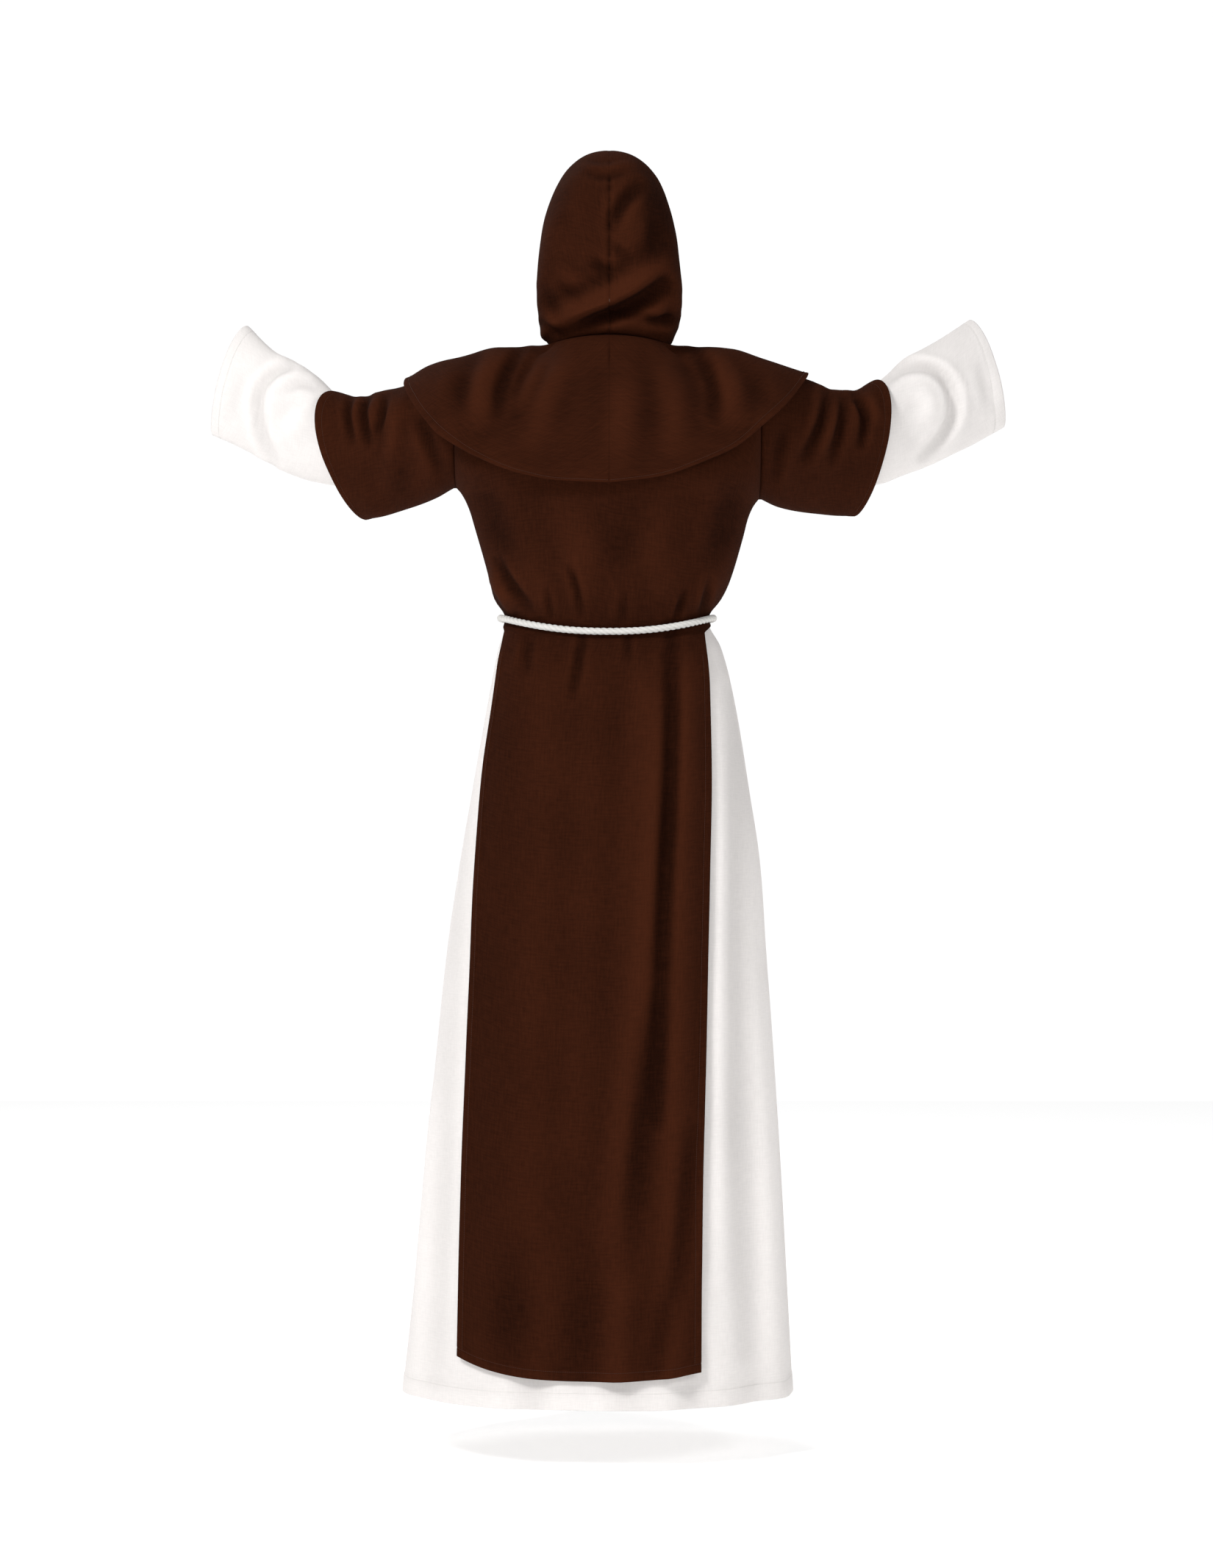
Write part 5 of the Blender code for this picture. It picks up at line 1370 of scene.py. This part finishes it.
def hood_half(side, rows, columns):
    """Half of the hood: rings from the neck seam to the face edge, folded and gathered."""
    edge = edge_steps(FACE_HEM_WIDTH) / HOOD_LENGTH
    down = np.concatenate((np.linspace(0, 1 - edge[-1], rows), 1 - edge[::-1][1:]))[:, None]
    across = np.concatenate(((0, 0.004, 0.010), np.linspace(0.02, 1, columns)))[None, :]
    fan = HOOD_RINGS[0, 0] + (HOOD_RINGS[-1, 0] - HOOD_RINGS[0, 0]) * down
    wide, far = outline(math.radians(HOOD_END_TURN) * across, HOOD_FULLNESS)
    radius = curve(HOOD_RINGS, 1, fan) * (1 + far) / 2
    x = curve(HOOD_RINGS, 2, fan) * wide
    y = HOOD_AXIS_Y - radius * np.cos(np.radians(fan))
    z = HOOD_AXIS_Z + radius * np.sin(np.radians(fan))
    grid = np.stack(np.broadcast_arrays(x, y, z), axis=-1)
    round_neck = HALF - (HALF + math.radians(THROAT_TURN)) * across[0]
    neck = neck_ring(round_neck, CAPE_NECK_OUT)
    grid = grid + (neck - grid[0])[None] * (1 - ease(down / HOOD_GATHER))[..., None]
    seen = grid * np.array((side, 1, 1))
    behind = ease((0.05 - grid[..., 1]) / 0.06)
    amount = creases(seen[..., 0], seen[..., 2], HOOD_CREASES) * behind
    amount += HOOD_RIPPLE * ripple(seen[..., 0] + seen[..., 1], seen[..., 2], 0.08, 41)
    gathers = np.sin(across * GATHER_COUNT + 2.0 * np.sin(across * GATHER_UNEVEN))
    amount += GATHER_RISE * gathers * np.exp(-down / GATHER_FADE)
    amount *= ease(down * 8.0)
    places = cloth_map(grid, False)
    amount += hem_relief(places[-1:, :, 1] - places[..., 1], FACE_HEM_WIDTH)
    from_seam = places[..., 0] - places[:, :1, 0]
    pucker = 1 + 0.4 * np.sin(places[..., 1] * PUCKER_PACE)
    held = ease(places[..., 1] / 0.012)
    held = held * (0.15 + 0.85 * ease((SEAM_PUCKER - grid[..., 2]) / 0.010))
    amount -= SEAM_DENT * held * pucker * np.exp(-(from_seam / SEAM_DENT_WIDTH) ** 2)
    amount += SEAM_LIP * held * np.exp(-((from_seam - SEAM_LIP_AWAY) / SEAM_LIP_WIDTH) ** 2)
    grid = push(grid, amount, np.array(HOOD_MIDDLE))
    return grid * np.array((side, 1, 1)), amount


for side, end in ((-1, "left"), (1, "right")):
    sew("hood_" + end, hood_half(side, 150, 116), HOOD_MIDDLE, False, BROWN_CLOTH, BROWN)

# %% [markdown]
# The belt is a three-strand cotton rope. Each strand is a round tube that winds about the middle
# line; together they make the slightly bumpy edge that shows in the picture. The tubes are profiles
# carried along a path: at each point, a frame of two directions across the path places them.

# %% Rope
STRAND = 0.0034
STRAND_OFF = 0.0016
LAY_LENGTH = 0.026
STRANDS = 3
ROPE_STEP = 0.0017
ANY_DIRECTION = (0.31, 0.17, 0.93)


def path_frames(path, closed):
    """Tangent, normal and side at each point: the normal is the up direction made square."""
    if closed:
        tangent = np.roll(path, -1, axis=0) - np.roll(path, 1, axis=0)
    else:
        tangent = np.gradient(path, axis=0)
    tangent /= np.linalg.norm(tangent, axis=1, keepdims=True)
    normal = np.zeros_like(path)
    last = np.array(ANY_DIRECTION)
    for i, along in enumerate(tangent):
        last = last - along * np.dot(last, along)
        last /= np.linalg.norm(last)
        normal[i] = last
    return tangent, normal, np.cross(tangent, normal)


def even_path(path, step, closed=False):
    """Points at even steps along a path."""
    if closed:
        path = np.concatenate((path, path[:1]))
    far = np.concatenate(([0.0], np.cumsum(np.linalg.norm(np.diff(path, axis=0), axis=1))))
    count = max(8, int(round(far[-1] / step)))
    at = np.linspace(0, far[-1], count + (not closed), endpoint=not closed)
    return np.stack([np.interp(at, far, path[:, k]) for k in range(3)], axis=1)


def rope_mesh(name, path, closed=False, step=ROPE_STEP, around=10):
    """Three strands round a path: strand angle = length / lay * 360 degrees + its third."""
    points = even_path(path, step, closed)
    _, normal, sideways = path_frames(points, closed)
    far = np.arange(len(points)) * step
    turns = far[-1] / LAY_LENGTH
    if closed:
        turns = round(turns * len(points) / (len(points) - 1))
    wind = np.linspace(0, 2 * math.pi * turns, len(points), endpoint=not closed)
    vertices, faces, groove, places = [], [], [], []
    for strand in range(STRANDS):
        angle = wind + strand * 2 * math.pi / STRANDS
        out = np.cos(angle)[:, None] * normal + np.sin(angle)[:, None] * sideways
        aside = -np.sin(angle)[:, None] * normal + np.cos(angle)[:, None] * sideways
        turn = np.arange(around) / around * 2 * math.pi
        middle = points + out * STRAND_OFF
        ring = (middle[:, None] + STRAND * (np.cos(turn)[None, :, None] * out[:, None]
                + np.sin(turn)[None, :, None] * aside[:, None]))
        rows = len(points)
        number = strand * rows * around + np.arange(rows * around).reshape(rows, around)
        down = np.roll(number, -1, axis=0) if closed else number[1:]
        here = number if closed else number[:-1]
        quad = np.stack((here, np.roll(here, -1, axis=1), np.roll(down, -1, axis=1), down), axis=-1)
        vertices.append(ring.reshape(-1, 3))
        faces.append(quad.reshape(-1, 4))
        groove.append(np.tile((1 - np.cos(turn)) / 2, rows))
        place = np.stack(np.broadcast_arrays(turn[None, :] * STRAND, far[:, None]), axis=-1)
        places.append(place.reshape(-1, 2))
    mesh = bpy.data.meshes.new(name)
    faces = np.concatenate(faces)
    mesh.from_pydata(np.concatenate(vertices), [], faces)
    # The attribute groove is 1 on each strand's inner side, where the rope's finish paints shade.
    deep = mesh.attributes.new("groove", "FLOAT", "POINT")
    deep.data.foreach_set("value", np.concatenate(groove).astype(np.float32))
    uv = mesh.uv_layers.new(name="cloth")
    uv.data.foreach_set("uv", np.concatenate(places)[faces.ravel()].astype(np.float32).ravel())
    mesh.shade_smooth()
    mesh.update()
    mesh.materials.append(COTTON)
    piece = bpy.data.objects.new(name, mesh)
    bpy.context.scene.collection.objects.link(piece)
    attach(piece, BODY)
    return piece


def belt_point(angle):
    """A point of the rope's middle line round the waist, from the back middle."""
    face = -1 if math.cos(angle) > 0 else 1
    local = math.asin(math.sin(angle))
    out = float(tunic_out(BELT_HEIGHT)) + ROPE / 2 + 2 * CLEAR
    return body_below(face, np.array(local), np.array(BELT_HEIGHT), out)


belt_line = np.array([belt_point(angle) for angle in np.linspace(0, 2 * math.pi, 240, False)])
belt = rope_mesh("rope_belt_strands", belt_line, closed=True)
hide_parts("rope_belt")
print("belt", round(float(np.linalg.norm(np.diff(belt_line, axis=0), axis=1).sum()), 3), "m round")

# %% [markdown]
# The knot sits at the front, where the two ends come out below it and hang on the panel. It is
# drawn as a trefoil, whose path winds over and under itself as the rope does in a real one. Each
# end stops in a small knot of its own, wound like an overhand knot.

# %% Belt knot and hanging ends
KNOT_SIZE = (0.040, 0.026, 0.030)
TAIL_LENGTH = 0.40
TAIL_SPREAD = 0.016
TAIL_OFF_PANEL = 0.014
TAIL_KNOT = 0.024
TAIL_STEPS = 17
END_KNOT_TURNS = 2.4
END_KNOT_SWELL = 0.0062
END_KNOT_STEP = 0.0015


def knot_front():
    """How far forward the knot's middle lies."""
    return float(belt_point(math.pi)[1]) + ROPE / 2 + CLEAR + KNOT_SIZE[1] / 2


def tail_points(side, top):
    """Middle line of an end: down from the knot, then along the panel, spreading a little."""
    points = []
    for height in np.linspace(top, top - TAIL_LENGTH, TAIL_STEPS):
        fallen = (top - height) / TAIL_LENGTH
        x = side * (TAIL_SPREAD / 2 + TAIL_SPREAD * fallen ** 0.8)
        out = float(tunic_out(height)) + TAIL_OFF_PANEL + ROPE / 2
        half = float(curve(ROBE_RINGS, RIGHT if x > 0 else LEFT, height)) + out
        angle = math.copysign(math.asin((abs(x) / half) ** (ROUNDNESS / 2)), x)
        surface = body_below(1, np.array(angle), np.array(height), out)
        start = 1 - ease(fallen * 4)
        y = float(surface[1]) + start * max(0.0, knot_front() - float(surface[1]))
        points.append((x, y, height))
    return np.array(points)


round_once = np.linspace(0, 2 * math.pi, 160, False)
trefoil = np.stack((np.sin(round_once) + 2 * np.sin(2 * round_once),
                    np.sin(3 * round_once),
                    np.cos(round_once) - 2 * np.cos(2 * round_once)), axis=1)
room = (np.array(KNOT_SIZE) - ROPE) / 2 / np.array((2.9, 1.0, 2.9))
knot_place = np.array((float(belt_point(math.pi)[0]), knot_front(), float(belt_point(math.pi)[2])))
knot = rope_mesh("belt_knot_strands", trefoil * room + knot_place, closed=True, around=9)
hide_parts("belt_knot")

tail_top = knot_place[2] - KNOT_SIZE[2] / 2 - CLEAR / 2
for side, end in ((-1, "left"), (1, "right")):
    line = smooth_path(tail_points(side, tail_top), 240)
    tail = rope_mesh("belt_tail_" + end + "_strands", line)
    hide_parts("belt_tail_" + end)
    turn = np.linspace(0, END_KNOT_TURNS * 2 * math.pi, 90)
    share = turn / turn[-1]
    swell = END_KNOT_SWELL * np.sin(math.pi * (0.08 + 0.84 * share)) ** 0.5
    wound = np.stack((np.cos(turn) * swell, np.sin(turn) * swell,
                      END_KNOT_SWELL * (1 - 2 * share)), axis=1)
    low = line[-1] - np.array((0, 0, TAIL_KNOT / 2 + CLEAR))
    end_knot = rope_mesh("tail_knot_" + end + "_strands", wound + low, step=END_KNOT_STEP)
    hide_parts("tail_knot_" + end)

# %% [markdown]
# Thread. Hems are held by straight lock stitches, about 3 mm each. Hundreds are needed, so one
# function makes them all at once: each is a small five-sided bead, long and low, laid along the
# hem's stitch row between two needle holes.

# %% Stitches
STITCH = 0.0030
THREAD = 0.00032
BEAD_RINGS = ((-0.34, 0.75), (0.0, 1.0), (0.34, 0.75))
BEAD_TIPS = (-0.43, 0.43)
BEAD_FLAT = 1.3
STITCH_OFF = 0.0002


def stitches(name, lines, finish):
    """Beads along lines of points with their normals: five sides, three rings and two tips."""
    middles, alongs, outs = [], [], []
    for line, normal in lines:
        far = np.concatenate(([0.0], np.cumsum(np.linalg.norm(np.diff(line, axis=0), axis=1))))
        at = np.arange(STITCH, far[-1] - STITCH / 2, STITCH)
        place = np.stack([np.interp(at, far, line[:, k]) for k in range(3)], axis=1)
        ahead = np.stack([np.interp(at + STITCH / 4, far, line[:, k]) for k in range(3)], axis=1)
        out = np.stack([np.interp(at, far, normal[:, k]) for k in range(3)], axis=1)
        along = ahead - place
        middles.append(place)
        alongs.append(along / np.linalg.norm(along, axis=1, keepdims=True))
        outs.append(out / np.linalg.norm(out, axis=1, keepdims=True))
    middle, along, out = (np.concatenate(rows) for rows in (middles, alongs, outs))
    aside = np.cross(along, out)
    turn = np.arange(5) / 5 * 2 * math.pi
    rings = []
    for share, wide in BEAD_RINGS:
        rings.append(middle[:, None] + along[:, None] * share * STITCH
                     + wide * THREAD * (np.cos(turn)[None, :, None] * out[:, None]
                                        + BEAD_FLAT * np.sin(turn)[None, :, None] * aside[:, None]))
    tips = [middle + along * share * STITCH for share in BEAD_TIPS]
    vertices = np.concatenate((*rings, tips[0][:, None], tips[1][:, None]), axis=1)
    size = vertices.shape[1]
    ring = np.arange(5)
    after = (ring + 1) % 5
    faces = [(a, b, b + 5, a + 5) for a, b in zip(ring, after)]
    faces += [(a + 5, b + 5, b + 10, a + 10) for a, b in zip(ring, after)]
    caps = [(15, b, a) for a, b in zip(ring, after)]
    caps += [(16, a + 10, b + 10) for a, b in zip(ring, after)]
    start = np.arange(len(middle))[:, None, None] * size
    quads = (np.array(faces)[None] + start).reshape(-1, 4).tolist()
    triangles = (np.array(caps)[None] + start).reshape(-1, 3).tolist()
    mesh = bpy.data.meshes.new(name)
    mesh.from_pydata(vertices.reshape(-1, 3), [], quads + triangles)
    mesh.uv_layers.new(name="cloth")
    mesh.shade_smooth()
    mesh.update()
    mesh.materials.append(finish)
    piece = bpy.data.objects.new(name, mesh)
    bpy.context.scene.collection.objects.link(piece)
    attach(piece, BODY)
    print(name, len(middle), "stitches")
    return piece


def stitch_row(node, row=None, column=None, middle=(0, 0, 0), closed=False, part=slice(None)):
    """Line and normals of one row or column of a piece's grid, a hair above its surface."""
    grid = grids[node]
    normal = normals(grid, closed)
    normal *= np.sign(np.sum(normal * (grid - np.asarray(middle)), axis=-1, keepdims=True))
    line = grid[row] if row is not None else grid[:, column]
    out = normal[row] if row is not None else normal[:, column]
    if closed:
        line, out = (np.concatenate((part_of, part_of[:1])) for part_of in (line, out))
    return (line + out * STITCH_OFF)[part], out[part]


white_lines = [stitch_row(node, row=STITCH_ROW, middle=(0, 0, -1.4))
               for node in ("robe_back", "robe_front")]
white_lines += [stitch_row("robe_sleeve_" + end, row=-1 - STITCH_ROW, closed=True,
                           middle=grids["robe_sleeve_" + end].mean(axis=1, keepdims=True))
                for end in ("left", "right")]
stitches("robe_stitches", white_lines, WHITE_THREAD)

brown_lines = []
for node in ("tunic_back", "tunic_front"):
    slit_rows = slice(STITCH_ROW, int(np.sum(grids[node][:, 0, 2] < SLIT_TOP - 0.04)))
    brown_lines.append(stitch_row(node, row=STITCH_ROW, middle=(0, 0, -1.4)))
    for column in (STITCH_ROW, -1 - STITCH_ROW):
        brown_lines.append(stitch_row(node, column=column, middle=(0, 0, -0.9), part=slit_rows))
for end in ("left", "right"):
    sleeve = "tunic_sleeve_" + end
    brown_lines.append(stitch_row(sleeve, row=-1 - STITCH_ROW, closed=True,
                                  middle=grids[sleeve].mean(axis=1, keepdims=True)))
stitches("tunic_stitches", brown_lines, BROWN_THREAD)

cape_lines = [stitch_row("cape_" + end, row=-1 - STITCH_ROW, middle=CAPE_MIDDLE)
              for end in ("left", "right")]
cape_lines += [stitch_row("hood_" + end, row=-1 - STITCH_ROW, middle=HOOD_MIDDLE)
               for end in ("left", "right")]
stitches("cape_stitches", cape_lines, BROWN_THREAD)

# %% [markdown]
# The stage: a pale floor and soft light, mostly from the left, as on a catalogue page. The world
# is white to the camera and much darker as a light, so the folds keep their shade, and the floor
# glows enough to be as white as the background.

# %% Floor, light and background
FLOOR = -1.559
FLOOR_GLOW = 0.58
FLOOR_HALF = 6
WORLD_LIGHT = 0.31
WORLD_SEEN = 0.71

floor_mesh = bpy.data.meshes.new("floor")
floor_corners = [(x * FLOOR_HALF, y * FLOOR_HALF, FLOOR)
                 for x, y in ((-1, -1), (1, -1), (1, 1), (-1, 1))]
floor_mesh.from_pydata(floor_corners, [], [(0, 1, 2, 3)])
floor = bpy.data.objects.new("floor", floor_mesh)
bpy.context.scene.collection.objects.link(floor)
pale = bpy.data.materials.new("pale floor")
pale.use_nodes = True
pale_shader = pale.node_tree.nodes["Principled BSDF"]
pale_shader.inputs["Base Color"].default_value = (0.9, 0.9, 0.9, 1.0)
pale_shader.inputs["Roughness"].default_value = 0.9
pale_shader.inputs["Emission Color"].default_value = (1.0, 1.0, 1.0, 1.0)
pale_shader.inputs["Emission Strength"].default_value = FLOOR_GLOW
floor_mesh.materials.append(pale)


def soft_light(name, place, aim, size, power):
    """A square area light at a place, turned towards a point."""
    lamp = bpy.data.lights.new(name, "AREA")
    lamp.size = size
    lamp.energy = power
    light = bpy.data.objects.new(name, lamp)
    light.location = place
    direction = np.array(aim) - np.array(place)
    pitch = math.atan2(math.hypot(direction[0], direction[1]), -direction[2])
    light.rotation_euler = (pitch, 0, math.atan2(direction[0], -direction[1]) + math.pi)
    bpy.context.scene.collection.objects.link(light)


# Name, place, aim, size in metres, power in watts
LIGHTS = (
    ("key", (-2.9, -3.7, 3.2), (0, 0, -0.5), 1.3, 215),
    ("fill", (3.9, -3.4, 2.2), (0, 0, -0.2), 1.6, 70),
    ("rim", (-2.5, 3.5, 2.5), (0, 0, -0.4), 2.5, 60),
)
for light_row in LIGHTS:
    soft_light(*light_row)

world = bpy.data.worlds.new("studio")
bpy.context.scene.world = world
world.use_nodes = True
tree = world.node_tree
backdrop = tree.nodes["Background"]
backdrop.inputs["Color"].default_value = (1.0, 1.0, 1.0, 1.0)
seen = Wire(tree).node("ShaderNodeLightPath")
strength = seen * WORLD_SEEN + WORLD_LIGHT
tree.links.new(strength.socket, backdrop.inputs["Strength"])
bpy.context.scene.view_settings.view_transform = "Standard"
